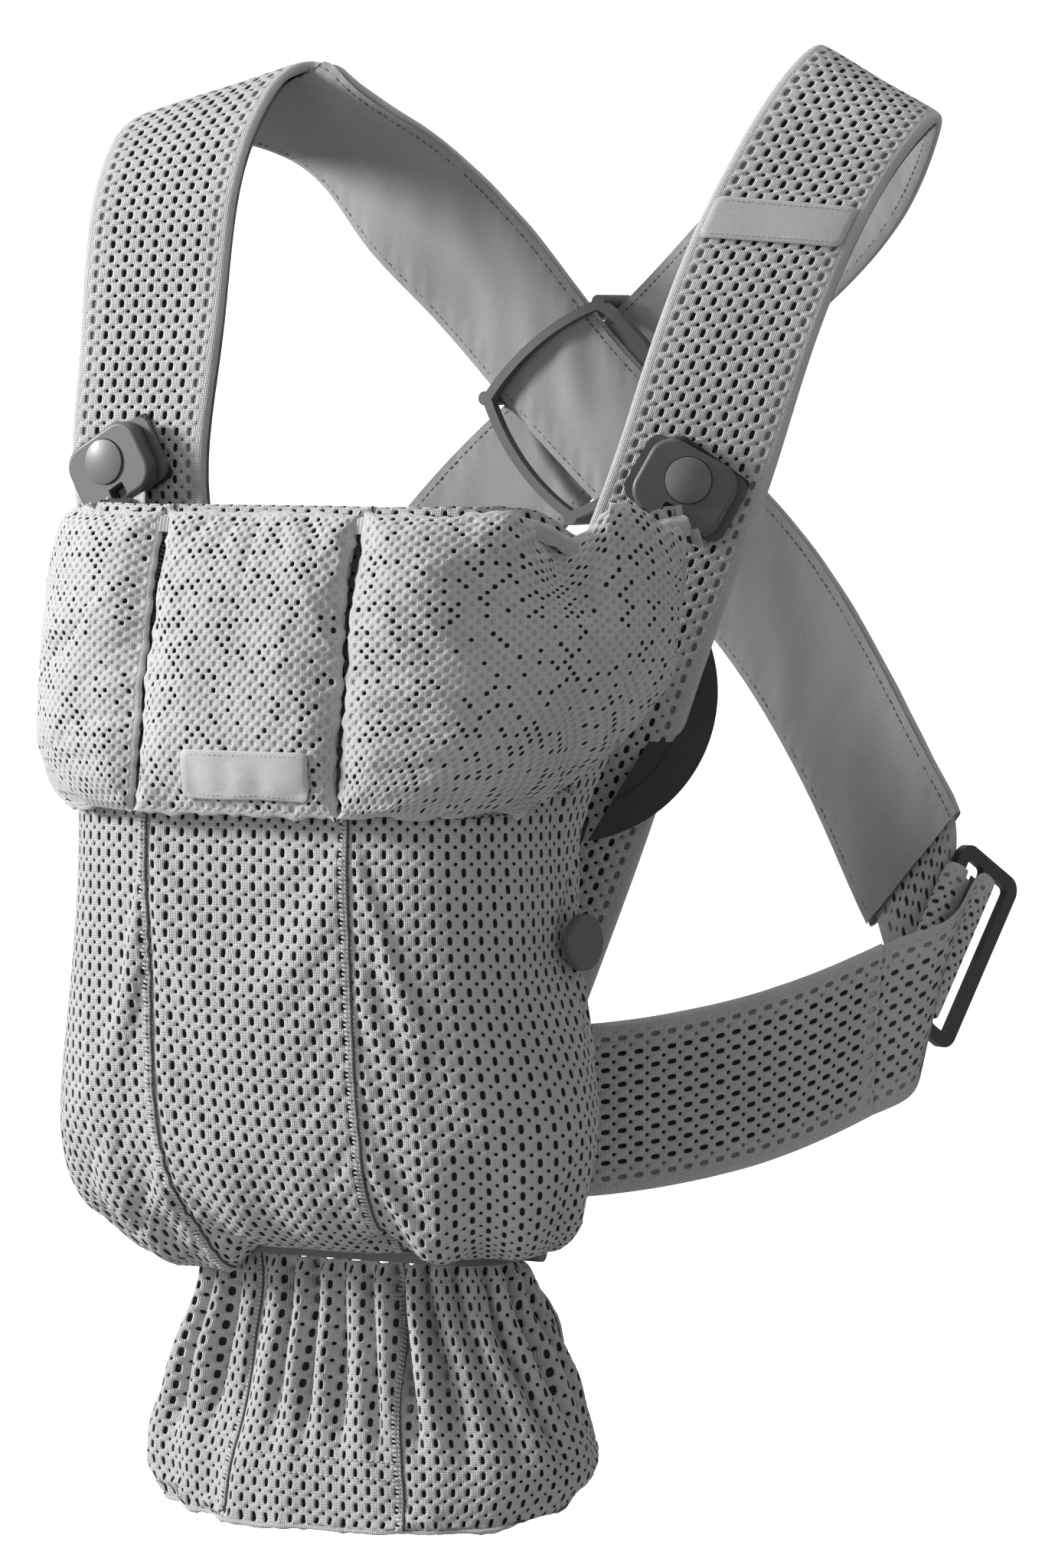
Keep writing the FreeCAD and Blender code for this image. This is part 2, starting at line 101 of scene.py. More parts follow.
BELT = [
    ((0, -80, -438), (0, 0, 1)),
    ((55, -73, -438), (0, 0, 1)),
    ((106, -42, -431), (0, 0, 1)),
    ((146, -9, -417), (0, .05, 1)),
    ((169, 11, -404), (0, .12, 1)),
]
POUCH_PLAN = [
    (-177, (0, -206), (48, -206), (88, -198), (109, -172), (123, -144), (137, -108)),
    (-245, (0, -221), (49, -220), (92, -210), (111, -184), (125, -152), (134, -116)),
    (-300, (0, -228), (49, -227), (90, -215), (106, -189), (111, -158), (108, -132)),
    (-330, (0, -229), (49, -228), (90, -215), (106, -187), (108, -155), (102, -131)),
    (-370, (0, -228), (49, -226), (93, -213), (111, -184), (112, -152), (103, -131)),
    (-430, (0, -222), (49, -220), (99, -206), (127, -177), (124, -147), (108, -129)),
    (-462, (0, -213), (48, -211), (97, -197), (123, -172), (117, -146), (99, -130)),
    (-479, (0, -199), (46, -197), (90, -185), (112, -164), (106, -142), (88, -127)),
    (-489.5, (0, -169), (41, -168), (69, -158), (84, -141), (78, -123), (60, -112)),
]
TAIL_PLAN = [
    (-494, (0, -164), (36, -163), (60, -153), (72, -137), (68, -120), (55, -110)),
    (-510, (0, -165), (36, -164), (62, -154), (76, -138), (73, -119), (62, -106)),
    (-530, (0, -168), (38, -167), (69, -157), (85, -139), (82, -117), (72, -102)),
    (-560, (0, -173), (40, -171), (77, -160), (99, -140), (94, -115), (82, -98)),
    (-585, (0, -177), (43, -175), (81, -163), (105, -142), (102, -116), (89, -98)),
    (-606, (0, -177), (44, -175), (77, -163), (91, -143), (91, -118), (81, -99)),
]
PAD_PLAN = [
    (-177, (0, -216), (48, -216), (94, -206), (119, -180), (136, -146), (147, -112)),
    (-212, (0, -227), (48, -227), (96, -216), (122, -187), (139, -150), (148, -113)),
    (-246, (0, -234), (49, -233), (97, -221), (122, -192), (138, -156), (146, -119)),
    (-280, (0, -239), (50, -238), (95, -225), (117, -199), (127, -173), (132, -148)),
    (-305, (0, -241), (50, -240), (76, -233), (95, -222), (106, -209), (113, -196)),
]
SLIDER_CENTRE = np.array([182.0, 60.0, -371.0])
BAR_OFFSET = 17.0


def unit(vectors):
    """Vectors scaled to length one."""
    vectors = np.asarray(vectors, float)
    return vectors / np.maximum(np.linalg.norm(vectors, axis=-1, keepdims=True), 1e-9)


SLIDER_UP = unit([.15, .52, .84])
SLIDER_NORMAL = unit([.95, -.30, .01])
SLIDER_ACROSS = np.cross(SLIDER_UP, SLIDER_NORMAL)


# Curves and surfaces

def spline(points, places=None):
    """A natural cubic spline through points, and the place of each point along it."""
    points = np.asarray(points, float)
    if places is None:
        steps = np.linalg.norm(np.diff(points, axis=0), axis=1)
        places = np.concatenate([[0.0], np.cumsum(steps)])
    places = np.asarray(places, float)
    count = len(points)
    gaps = np.diff(places)
    matrix = np.eye(count)
    right = np.zeros_like(points)
    for i in range(1, count - 1):
        matrix[i, i - 1:i + 2] = gaps[i - 1], 2 * (gaps[i - 1] + gaps[i]), gaps[i]
        rise = (points[i + 1] - points[i]) / gaps[i]
        right[i] = 6 * (rise - (points[i] - points[i - 1]) / gaps[i - 1])
    bend = np.linalg.solve(matrix, right)

    def at(t):
        t = np.asarray(t, float)
        k = np.clip(np.searchsorted(places, t, side="right") - 1, 0, count - 2)
        ahead = (t - places[k])[..., None]
        gap = gaps[k][..., None]
        back = gap - ahead
        cubic = (bend[k] * back ** 3 + bend[k + 1] * ahead ** 3) / (6 * gap)
        return (
            cubic
            + (points[k] / gap - bend[k] * gap / 6) * back
            + (points[k + 1] / gap - bend[k + 1] * gap / 6) * ahead
        )

    return at, places


def ripple(x, y, seed, wavelength, count=7):
    """Smooth seeded noise between about -1 and 1, from a few crossed waves."""
    rng = np.random.default_rng(seed)
    total = 0
    for _ in range(count):
        angle = rng.uniform(0, math.pi)
        length = wavelength * rng.uniform(0.6, 1.7)
        phase = rng.uniform(0, 2 * math.pi)
        total = total + np.sin(2 * math.pi * (x * math.cos(angle) + y * math.sin(angle)) / length + phase)
    return total / count ** 0.5 / 1.5


def blur(t):
    """0 to 1 with a smooth start and end."""
    t = np.clip(t, 0, 1)
    return t * t * (3 - 2 * t)


def lanes(rows, columns, u0=0.0, u1=1.0, v0=0.0, v1=1.0):
    """u and v at every point of a grid."""
    v, u = np.meshgrid(np.linspace(v0, v1, rows), np.linspace(u0, u1, columns), indexing="ij")
    return u, v


class Surface:
    """A grid of points read smoothly between them: u from 0 to 1 across, v from 0 to 1 along."""

    def __init__(self, grid, outward=1):
        self.grid = np.asarray(grid, float)
        self.outward = outward
        padded = np.concatenate([2 * self.grid[:1] - self.grid[1:2], self.grid,
                                 2 * self.grid[-1:] - self.grid[-2:-1]])
        self.padded = np.concatenate([2 * padded[:, :1] - padded[:, 1:2], padded,
                                      2 * padded[:, -1:] - padded[:, -2:-1]], axis=1)
        self.length = np.linalg.norm(np.diff(self.grid, axis=0), axis=2).sum(0).mean()
        self.width = np.linalg.norm(np.diff(self.grid, axis=1), axis=2).sum(1).mean()

    def at(self, u, v):
        rows, columns = self.grid.shape[:2]
        total = 0
        x = np.asarray(u, float) * (columns - 1)
        y = np.asarray(v, float) * (rows - 1)
        i = np.clip(np.floor(x).astype(int), 0, columns - 2)
        j = np.clip(np.floor(y).astype(int), 0, rows - 2)
        weights_x = catmull(x - i)
        weights_y = catmull(y - j)
        for b in range(4):
            for a in range(4):
                total = total + (weights_y[b] * weights_x[a])[..., None] * self.padded[j + b, i + a]
        return total

    def frame(self, u, v):
        """Point, direction across, direction along and outward normal."""
        e = 1e-3
        across = unit(self.at(u + e, v) - self.at(u - e, v))
        along = unit(self.at(u, v + e) - self.at(u, v - e))
        normal = unit(np.cross(across, along)) * self.outward
        return self.at(u, v), across, along, normal

    def raised(self, height):
        """The same surface moved out along its normals by a height that may vary over it."""
        u, v = lanes(*self.grid.shape[:2])
        point, _, _, normal = self.frame(u, v)
        if callable(height):
            height = height(u, v)[..., None]
        return Surface(point + normal * height, self.outward)

    def inset(self, margin):
        """This surface without a margin all round."""
        u, v = margin / self.width, margin / self.length
        return Surface(self.at(*lanes(*self.grid.shape[:2], u, 1 - u, v, 1 - v)), self.outward)


def catmull(t):
    return (
        (-t + 2 * t ** 2 - t ** 3) / 2,
        (2 - 5 * t ** 2 + 3 * t ** 3) / 2,
        (t + 4 * t ** 2 - 3 * t ** 3) / 2,
        (-t ** 2 + t ** 3) / 2,
    )


def strap_surface(stations, width, outward=1, rows=None):
    """The middle surface of webbing that runs through stations of (centre, width direction)."""
    centre, places = spline([s[0] for s in stations])
    across, _ = spline([unit(s[1]) for s in stations], places)
    narrowing = [[s[2] / STRAP_WIDTH if len(s) > 2 else 1.0] for s in stations]
    share, _ = spline(narrowing, places)
    rows = rows or max(8, int(places[-1] / 6))
    t = np.linspace(0, places[-1], rows)
    offsets = np.linspace(-0.5, 0.5, 13)
    sides = unit(across(t)) * width * np.clip(share(t), 0.85, 1.0)
    return Surface(centre(t)[:, None] + sides[:, None] * offsets[None, :, None], outward)


def plan_surface(plan, first, last, columns, rows, outward=-1):
    """A wall through the levels of a plan, between two of its eleven columns of points."""
    levels = []
    for level in plan:
        half = level[1:]
        whole = [(-x, y, level[0]) for x, y in reversed(half[1:])]
        levels.append(whole + [(x, y, level[0]) for x, y in half])
    levels = np.array(levels, float)
    _, places = spline(levels[:, 5])
    t = np.linspace(0, places[-1], rows)
    posts = np.stack([spline(levels[:, k], places)[0](t) for k in range(11)], axis=1)
    grid = []
    for row in posts:
        curve, _ = spline(row, np.arange(11.0))
        fine = curve(np.linspace(first, last, columns * 4))
        run = np.concatenate([[0], np.cumsum(np.linalg.norm(np.diff(fine, axis=0), axis=1))])
        even = np.linspace(0, run[-1], columns)
        grid.append(np.stack([np.interp(even, run, fine[:, axis]) for axis in range(3)], axis=1))
    return Surface(grid, outward)


# Meshes

def make_mesh(name, points, faces, slots=None, uv=None, materials=()):
    """A mesh object from points in millimetres and arrays of faces, one array per face size."""
    mesh = bpy.data.meshes.new(name)
    points = np.asarray(points, float)
    mesh.vertices.add(len(points))
    mesh.vertices.foreach_set("co", (points * MM).ravel())
    faces = [np.asarray(f, int) for f in faces if len(f)]
    corners = np.concatenate([f.ravel() for f in faces])
    sizes = np.concatenate([np.full(len(f), f.shape[1]) for f in faces])
    mesh.loops.add(len(corners))
    mesh.loops.foreach_set("vertex_index", corners)
    mesh.polygons.add(len(sizes))
    mesh.polygons.foreach_set("loop_start", np.concatenate([[0], np.cumsum(sizes)[:-1]]))
    if slots is not None:
        mesh.polygons.foreach_set("material_index", np.concatenate(slots).astype(int))
    mesh.polygons.foreach_set("use_smooth", np.ones(len(sizes), bool))
    mesh.update(calc_edges=True)
    if uv is not None:
        layer = mesh.uv_layers.new(name="weave")
        layer.data.foreach_set("uv", (np.asarray(uv, float)[corners] / 10).ravel())
    mesh.validate()
    piece = bpy.data.objects.new(name, mesh)
    bpy.context.scene.collection.objects.link(piece)
    for material in materials:
        mesh.materials.append(material)
    return piece


def grid_faces(rows, columns, flip=False):
    index = np.arange(rows * columns).reshape(rows, columns)
    quads = np.stack([index[:-1, :-1], index[:-1, 1:], index[1:, 1:], index[1:, :-1]], axis=-1)
    quads = quads.reshape(-1, 4)
    return quads[:, ::-1] if flip else quads


def tube_faces(rings, spokes):
    """Faces between rings of points that close on themselves."""
    index = np.arange(rings * spokes).reshape(rings, spokes)
    after = np.roll(index, -1, axis=1)
    return np.stack([index[:-1], after[:-1], after[1:], index[1:]], axis=-1).reshape(-1, 4)


def cell(a, b, oval, dot, depth, dot_depth, swell):
    """One unit of the mesh: an oval hole in the middle and a quarter of a round one at each corner.

    Returns points (x, y, height), quads, triangles, which hole each point and face belongs to (0 for
    none, 1 for the oval, 2 to 5 for the corners) and which faces are the inside of a hole.
    """
    turn = math.sqrt(0.5)
    half_a, half_b = a / 2, b / 2
    corners = ((1, 1), (-1, 1), (-1, -1), (1, -1))
    outline = [(half_a, 0)]
    for (sx, sy), middle_of_side in zip(corners, ([(0, half_b)], [(-half_a, 0)], [(0, -half_b)], [])):
        side = (sx * half_a, sy * (half_b - dot))
        middle = (sx * (half_a - dot * turn), sy * (half_b - dot * turn))
        end = (sx * (half_a - dot), sy * half_b)
        outline += ([side, middle, end] if sx * sy > 0 else [end, middle, side]) + middle_of_side
    outline = np.array(outline)
    angles = np.arange(16) * math.pi / 8
    square = lambda t: np.sign(t) * np.abs(t) ** 0.75
    ring = np.stack([oval[0] * square(np.cos(angles)), oval[1] * square(np.sin(angles))], axis=1)
    level = lambda xy, h: np.concatenate([xy, np.full((len(xy), 1), h)], axis=1)
    bottoms = []
    for sx, sy in corners:
        corner = np.array([sx * half_a, sy * half_b])
        arc = [(0, -1), (-turn, -turn), (-1, 0)]
        bottoms += [corner + np.array([sx * x, sy * y]) * dot * 0.85 for x, y in arc] + [corner]
    points = np.concatenate([
        level(outline, 0.0),
        level(outline * 0.45 + ring * 0.55, swell),
        level(ring, -0.12),
        level(ring * 0.9, -depth),
        level(np.zeros((1, 2)), -depth),
        level(np.array(bottoms), -dot_depth),
    ])
    quads = []
    for k in range(16):
        n = (k + 1) % 16
        for base in (0, 16, 32):
            quads.append((base + k, base + n, base + 16 + n, base + 16 + k))
    triangles = [(48 + k, 48 + (k + 1) % 16, 64) for k in range(16)]
    quad_hole = [0, 0, 1] * 16
    triangle_hole = [1] * 16
    for corner, rim in enumerate(((1, 2, 3), (7, 6, 5), (9, 10, 11), (15, 14, 13))):
        low = 65 + 4 * corner
        order = corner in (0, 2)
        for k in range(2):
            quad = (rim[k], rim[k + 1], low + k + 1, low + k)
            triangle = (low + k, low + k + 1, low + 3)
            quads.append(quad[::-1] if order else quad)
            triangles.append(triangle[::-1] if order else triangle)
            quad_hole.append(corner + 2)
            triangle_hole.append(corner + 2)
    point_hole = np.concatenate([np.zeros(48, int), np.ones(17, int), np.repeat([2, 3, 4, 5], 4)])
    return points, np.array(quads), np.array(triangles), point_hole, np.array(quad_hole), np.array(triangle_hole)


def weave(name, surface, materials, soft=1, columns=None, rows=None, oval=OVAL, dot=ROUND,
          depth=1.7, dot_depth=1.3, swell=0.06, tuck=0.0, reach=6.0, open_share=1.0, seed=1):
    """Open knitted mesh over a surface. materials are the cloth, the dark layer under the open holes
    and a darker grey, painted shade, for the closed shallow dimples: those of the outermost soft columns, and 1 -
    open_share of the others.
    """
    columns = columns or max(2, round(surface.width / PITCH_ACROSS))
    rows = rows or max(2, round(surface.length / PITCH_ALONG))
    a, b = surface.width / columns, surface.length / rows
    points, quads, triangles, point_hole, quad_hole, triangle_hole = cell(a, b, oval, dot, depth, dot_depth, swell)
    i, j = np.meshgrid(np.arange(columns), np.arange(rows))
    i, j = i.ravel(), j.ravel()
    rng = np.random.default_rng(seed)
    oval_open = rng.random((rows, columns)) < open_share
    oval_open[:, :soft] = oval_open[:, columns - soft:] = False
    dot_open = rng.random((rows + 1, columns + 1)) < open_share
    dot_open[:, :soft + 1] = dot_open[:, columns - soft:] = False
    is_open = np.stack([
        np.ones(len(i), bool), oval_open[j, i],
        dot_open[j + 1, i + 1], dot_open[j + 1, i], dot_open[j, i], dot_open[j, i + 1],
    ], axis=1)
    x = (i[:, None] + 0.5) * a + points[None, :, 0]
    y = (j[:, None] + 0.5) * b + points[None, :, 1]
    height = points[None, :, 2] * np.where(is_open[:, point_hole], 1.0, 0.35)
    every = np.stack([x, y, height], axis=-1).reshape(-1, 3)
    _, first, back = np.unique(np.round(every * 200).astype(np.int64), axis=0,
                               return_index=True, return_inverse=True)
    back = back.ravel()
    kept = every[first]
    offset = (np.arange(len(i)) * len(points))[:, None, None]
    all_quads = back[(quads[None] + offset).reshape(-1, 4)]
    all_triangles = back[(triangles[None] + offset).reshape(-1, 3)]
    # Closed holes take the third material, a darker grey painted in as shade in their shallow dimples
    slots = [np.where(hole == 0, 0, np.where(is_open[:, hole], 1, 2)).ravel() for hole in (quad_hole, triangle_hole)]
    u, v = kept[:, 0] / surface.width, kept[:, 1] / surface.length
    point, _, _, normal = surface.frame(u, v)
    border = np.minimum(np.minimum(u, 1 - u) * surface.width, np.minimum(v, 1 - v) * surface.length)
    sink = tuck * (1 - blur(border / reach))
    point = point + normal * (kept[:, 2] - sink)[:, None]
    if surface.outward < 0:
        all_quads = all_quads[:, ::-1]
        all_triangles = all_triangles[:, ::-1]
    return make_mesh(name, point, [all_quads, all_triangles], slots, kept[:, :2], materials)


def sheet_mesh(name, surface, materials, step=3.0, height=None):
    """Plain cloth over a surface, fine enough for its folds."""
    columns = max(4, int(surface.width / step))
    rows = max(4, int(surface.length / step))
    u, v = lanes(rows, columns)
    point, _, _, normal = surface.frame(u, v)
    if height is not None:
        point = point + normal * height(u * surface.width, v * surface.length)[..., None]
    uv = np.stack([u * surface.width, v * surface.length], axis=-1).reshape(-1, 2)
    faces = grid_faces(rows, columns, surface.outward < 0)
    return make_mesh(name, point.reshape(-1, 3), [faces], None, uv, materials)


def rolled(name, surface, materials, edges, profile, step=3.0):
    """A rolled hem: a profile of (outwards, height) swept along some of a surface's four edges."""
    points, faces, uvs = [], [], []
    total = 0
    for edge in edges:
        run = surface.length if edge in ("left", "right") else surface.width
        count = max(4, int(run / step))
        t = np.linspace(0, 1, count)
        still = np.zeros(count)
        u, v = {"left": (still, t), "right": (still + 1, t), "start": (t, still), "end": (t, still + 1)}[edge]
        point, across, along, normal = surface.frame(u, v)
        outwards = {"left": -across, "right": across, "start": -along, "end": along}[edge]
        ribs = []
        for o, h in profile:
            shake = 1 + 0.075 * np.sin(t * run / 5 + 1) * np.sin(t * run / 13 + 2)
            ribs.append(point + outwards * o + normal * (h * shake)[:, None])
        ribs = np.stack(ribs, axis=1)
        size = len(profile)
        flip = (edge in ("left", "end")) != (surface.outward < 0)
        faces.append(grid_faces(count, size, flip) + total)
        points.append(ribs.reshape(-1, 3))
        around = np.concatenate([[0], np.cumsum(np.hypot(*np.diff(np.array(profile), axis=0).T))])
        uvs.append(np.stack(np.meshgrid(around, t * run), axis=-1).reshape(-1, 2))
        total += count * size
    return make_mesh(name, np.concatenate(points), [np.concatenate(faces)], None, np.concatenate(uvs), materials)


ALL_EDGES = ["left", "right", "start", "end"]


def hem_profile(top, bottom, reach=HEM):
    """Round the edge of the cloth from its outer face to its lining."""
    half = (top - bottom) / 2
    points = [(-1.0, -0.25)]
    for k in range(13):
        angle = math.pi / 2 - k * math.pi / 12
        points.append((reach * max(0.0, math.cos(angle)) ** 0.8, half * math.sin(angle) - half))
    return points + [(-2.0, bottom - top)]


def stitches(name, path, normals, materials, pitch=3.0, length=2.2, radius=0.35, slant=0.0, side=0.0, lift=0.1):
    """A row of thread stitches along a path, each a small rounded bar."""
    path = np.asarray(path, float)
    run = np.concatenate([[0], np.cumsum(np.linalg.norm(np.diff(path, axis=0), axis=1))])
    count = max(1, int(run[-1] / pitch))
    where = (np.arange(count) + 0.5) * run[-1] / count

    def read(place, values):
        return np.stack([np.interp(place, run, values[:, k]) for k in range(3)], axis=1)

    normal = unit(read(where, normals))
    along = unit(read(where + 0.5, path) - read(where - 0.5, path))
    across = np.cross(normal, along)
    direction = along * math.cos(slant) + across * math.sin(slant)
    other = np.cross(normal, direction)
    rings = [(-0.5, 0.25), (-0.38, 0.85), (0.0, 1.0), (0.38, 0.85), (0.5, 0.25)]
    angles = np.arange(6) * math.pi / 3
    template = np.array([(t * length, r * radius * math.cos(angle), r * radius * math.sin(angle))
                         for t, r in rings for angle in angles])
    base = read(where, path) + normal * lift + across * side
    points = (
        base[:, None]
        + direction[:, None] * template[None, :, :1]
        + other[:, None] * template[None, :, 1:2]
        + normal[:, None] * template[None, :, 2:3]
    ).reshape(-1, 3)
    quads = tube_faces(len(rings), 6)
    caps = [(5, 4, 3, 2, 1, 0), (24, 25, 26, 27, 28, 29)]
    offset = (np.arange(count) * len(template))[:, None, None]
    faces = [(quads[None] + offset).reshape(-1, 4), (np.array(caps)[None] + offset).reshape(-1, 6)]
    return make_mesh(name, points, faces, None, None, materials)


def seam_path(surface, u=None, v=None, start=0.0, end=1.0, count=120):
    """Points and normals along a line of constant u or constant v."""
    t = np.linspace(start, end, count)
    u_line = np.full(count, u) if u is not None else t
    v_line = np.full(count, v) if v is not None else t
    point, _, _, normal = surface.frame(u_line, v_line)
    return point, normal


def rounded_outline(width, height, corner):
    """Points round a rectangle with round corners, close enough together to follow a curved surface."""
    arcs = []
    for quarter, (sx, sy) in enumerate(((1, 1), (-1, 1), (-1, -1), (1, -1))):
        turn = np.linspace(0, math.pi / 2, 7) + quarter * math.pi / 2
        arcs.append(np.stack([sx * (width / 2 - corner) + corner * np.cos(turn),
                              sy * (height / 2 - corner) + corner * np.sin(turn)], axis=1))
    outline = []
    straight = np.linspace(0, 1, 9)[1:-1, None]
    for arc, after in zip(arcs, arcs[1:] + arcs[:1]):
        outline += [arc, arc[-1] * (1 - straight) + after[0] * straight]
    return np.concatenate(outline)


def patch(name, surface, centre, size, materials, corner=3.0, thick=0.9, angle=0.0, lift=0.3):
    """A small sewn patch with rounded corners, lying on a surface. centre is in millimetres on it."""
    width, height = size
    rings = 10
    points, uvs = [], []
    rim = rounded_outline(width, height, corner)
    shares = np.concatenate([np.linspace(0, 1, rings) ** 0.8, [1.012, 1.0]])
    heights = np.concatenate([np.full(rings - 1, thick), [thick * 0.92, thick * 0.45, 0.0]])
    cos, sin = math.cos(angle), math.sin(angle)
    for share, h in zip(shares, heights):
        x = rim[:, 0] * share
        y = rim[:, 1] * share
        sx = centre[0] + x * cos - y * sin
        sy = centre[1] + x * sin + y * cos
        point, _, _, normal = surface.frame(sx / surface.width, sy / surface.length)
        points.append(point + normal * (lift + h))
        uvs.append(np.stack([x, y], axis=1))
    faces = tube_faces(len(shares), len(rim))
    if surface.outward > 0:
        faces = faces[:, ::-1]
    return make_mesh(name, np.concatenate(points), [faces], None, np.concatenate(uvs), materials)


# Cloth simulation

SIM_FRAMES = 20


def run_cloth(points, faces, pins, gravity, growth, bending, pressure=None):
    """Steps Blender's cloth on a coarse mesh and returns where its points end."""
    scene = bpy.context.scene
    piece = make_mesh("cloth_working", points, [faces])
    group = piece.vertex_groups.new(name="pin")
    for index in np.nonzero(pins > 0)[0]:
        group.add([int(index)], float(pins[index]), "REPLACE")
    cloth = piece.modifiers.new("cloth", "CLOTH")
    settings = cloth.settings
    for setting, value in {
        "quality": 6, "mass": 0.12, "tension_stiffness": 12, "compression_stiffness": 12, "shear_stiffness": 6,
        "bending_stiffness": bending, "vertex_group_mass": "pin", "shrink_min": -growth,
    }.items():
        setattr(settings, setting, value)
    settings.effector_weights.gravity = gravity
    if pressure is not None:
        settings.use_pressure = True
        settings.uniform_pressure_force = pressure
    cloth.collision_settings.use_collision = False
    cloth.point_cache.frame_end = SIM_FRAMES
    for step in range(1, SIM_FRAMES + 1):
        scene.frame_set(step)
    shape = piece.evaluated_get(bpy.context.evaluated_depsgraph_get()).to_mesh()
    moved = np.empty(len(points) * 3)
    shape.vertices.foreach_get("co", moved)
    scene.frame_set(1)
    mesh = piece.data
    bpy.data.objects.remove(piece)
    bpy.data.meshes.remove(mesh)
    return moved.reshape(-1, 3) / MM


def capped(start, end, limit):
    """end, but no further than limit from start."""
    move = end - start
    far = np.linalg.norm(move, axis=-1, keepdims=True)
    return start + move * np.minimum(1, limit / np.maximum(far, 1e-9))


def drape(surface, pins, growth, limit, gravity=0.4):
    """Lets a surface fold by itself, held at its pinned points."""
    rows, columns = surface.grid.shape[:2]
    start = surface.grid.reshape(-1, 3)
    faces = grid_faces(rows, columns)
    end = run_cloth(start, faces, pins.ravel(), gravity, growth, bending=0.6)
    return Surface(capped(start, end, limit).reshape(rows, columns, 3), surface.outward)


def inflate(outer, thickness, limit, inner_limit):
    """Puffs a closed pad, pinned along its edges, and returns its outer and inner faces."""
    inner = outer.raised(-thickness)
    rows, columns = outer.grid.shape[:2]
    front = outer.grid.reshape(-1, 3)
    back = inner.grid.reshape(-1, 3)
    count = len(front)
    index = np.arange(count).reshape(rows, columns)
    border = np.concatenate([index[0], index[1:, -1], index[-1, -2::-1], index[-2:0:-1, 0]])
    following = np.roll(border, -1)
    rim = np.stack([border, following, following + count, border + count], axis=1)
    forward = outer.outward > 0
    faces = np.concatenate([
        grid_faces(rows, columns, not forward),
        grid_faces(rows, columns, forward) + count,
        rim[:, ::-1] if forward else rim,
    ])
    pins = np.zeros(2 * count)
    pins[border] = 1
    pins[border + count] = 1
    start = np.concatenate([front, back])
    end = run_cloth(start, faces, pins, gravity=0.0, growth=0.014, bending=0.5, pressure=4.0)
    puffed_front = capped(front, end[:count], limit).reshape(rows, columns, 3)
    puffed_back = capped(back, end[count:], inner_limit).reshape(rows, columns, 3)
    return Surface(puffed_front, outer.outward), Surface(puffed_back, outer.outward)


def locate(surface, point):
    """The place on a surface nearest to a point, in millimetres across and along it."""
    u, v = lanes(160, 40)
    gap = np.linalg.norm(surface.at(u, v) - np.asarray(point, float), axis=-1)
    j, i = np.unravel_index(gap.argmin(), gap.shape)
    return u[j, i] * surface.width, v[j, i] * surface.length


# Materials

def node_tree(name, roughness, **sockets):
    """A material with a Principled shader whose plain numbers are set on the shader itself."""
    made = bpy.data.materials.new(name)
    made.use_nodes = True
    shader = made.node_tree.nodes["Principled BSDF"]
    shader.inputs["Roughness"].default_value = roughness
    for socket, value in sockets.items():
        shader.inputs[socket.replace("_", " ")].default_value = value
    return made, made.node_tree, shader


def add_node(tree, kind, settings=None, inputs=None, links=None):
    """A shader node with its settings, its plain inputs and the sockets linked into it."""
    node = tree.nodes.new("ShaderNode" + kind)
    for key, value in (settings or {}).items():
        setattr(node, key, value)
    for key, value in (inputs or {}).items():
        node.inputs[key].default_value = value
    for key, socket in (links or {}).items():
        tree.links.new(socket, node.inputs[key])
    return node


def tint(tree, shader, vector, colour, spread, scales):
    """Base colour that wanders a little, at several scales."""
    value = None
    for scale, share in scales:
        noise = add_node(tree, "TexNoise", {}, {"Scale": scale, "Detail": 3}, {"Vector": vector})
        part = add_node(tree, "Math", {"operation": "MULTIPLY"}, {1: share}, {0: noise.outputs["Fac"]})
        if value is None:
            value = part.outputs[0]
        else:
            value = add_node(tree, "Math", {"operation": "ADD"}, {}, {0: value, 1: part.outputs[0]}).outputs[0]
    ramp = add_node(tree, "ValToRGB", links={"Fac": value})
    for element, place, change in zip(ramp.color_ramp.elements, (0.3, 0.7), (1 - spread, 1 + spread)):
        element.position = place
        element.color = [c * change for c in colour] + [1]
    tree.links.new(ramp.outputs["Color"], shader.inputs["Base Color"])


def cloth_material(name, colour, rib=0.8, course=1.1, strength=0.5, sheen=0.25, fuzz=0.15):
    """Knitted or woven cloth: ribs one way, courses the other, and fuzz. Sizes in millimetres."""
    made, tree, shader = node_tree(name, 0.85, Sheen_Weight=sheen, Sheen_Roughness=0.5, Specular_IOR_Level=0.25)
    place = add_node(tree, "UVMap", {"uv_map": "weave"})
    heights = {}
    for index, (direction, period) in enumerate((("X", rib), ("Y", course))):
        wave = add_node(tree, "TexWave", {"bands_direction": direction},
                        {"Scale": 3.14159 / period, "Distortion": 0.6, "Detail Scale": 4},
                        {"Vector": place.outputs["UV"]})
        heights[index] = wave.outputs["Fac"]
    knit = add_node(tree, "Math", {"operation": "ADD"}, {}, heights)
    bump = add_node(tree, "Bump", {}, {"Strength": strength, "Distance": 0.00025}, {"Height": knit.outputs[0]})
    solid = add_node(tree, "TexCoord").outputs["Object"]
    noise = add_node(tree, "TexNoise", {}, {"Scale": 1800}, {"Vector": solid})
    hair = add_node(tree, "Bump", {}, {"Strength": fuzz, "Distance": 0.0003},
                    {"Height": noise.outputs["Fac"], "Normal": bump.outputs["Normal"]})
    tree.links.new(hair.outputs["Normal"], shader.inputs["Normal"])
    tint(tree, shader, solid, colour, 0.10, ((40, 0.45), (900, 0.55)))
    return made


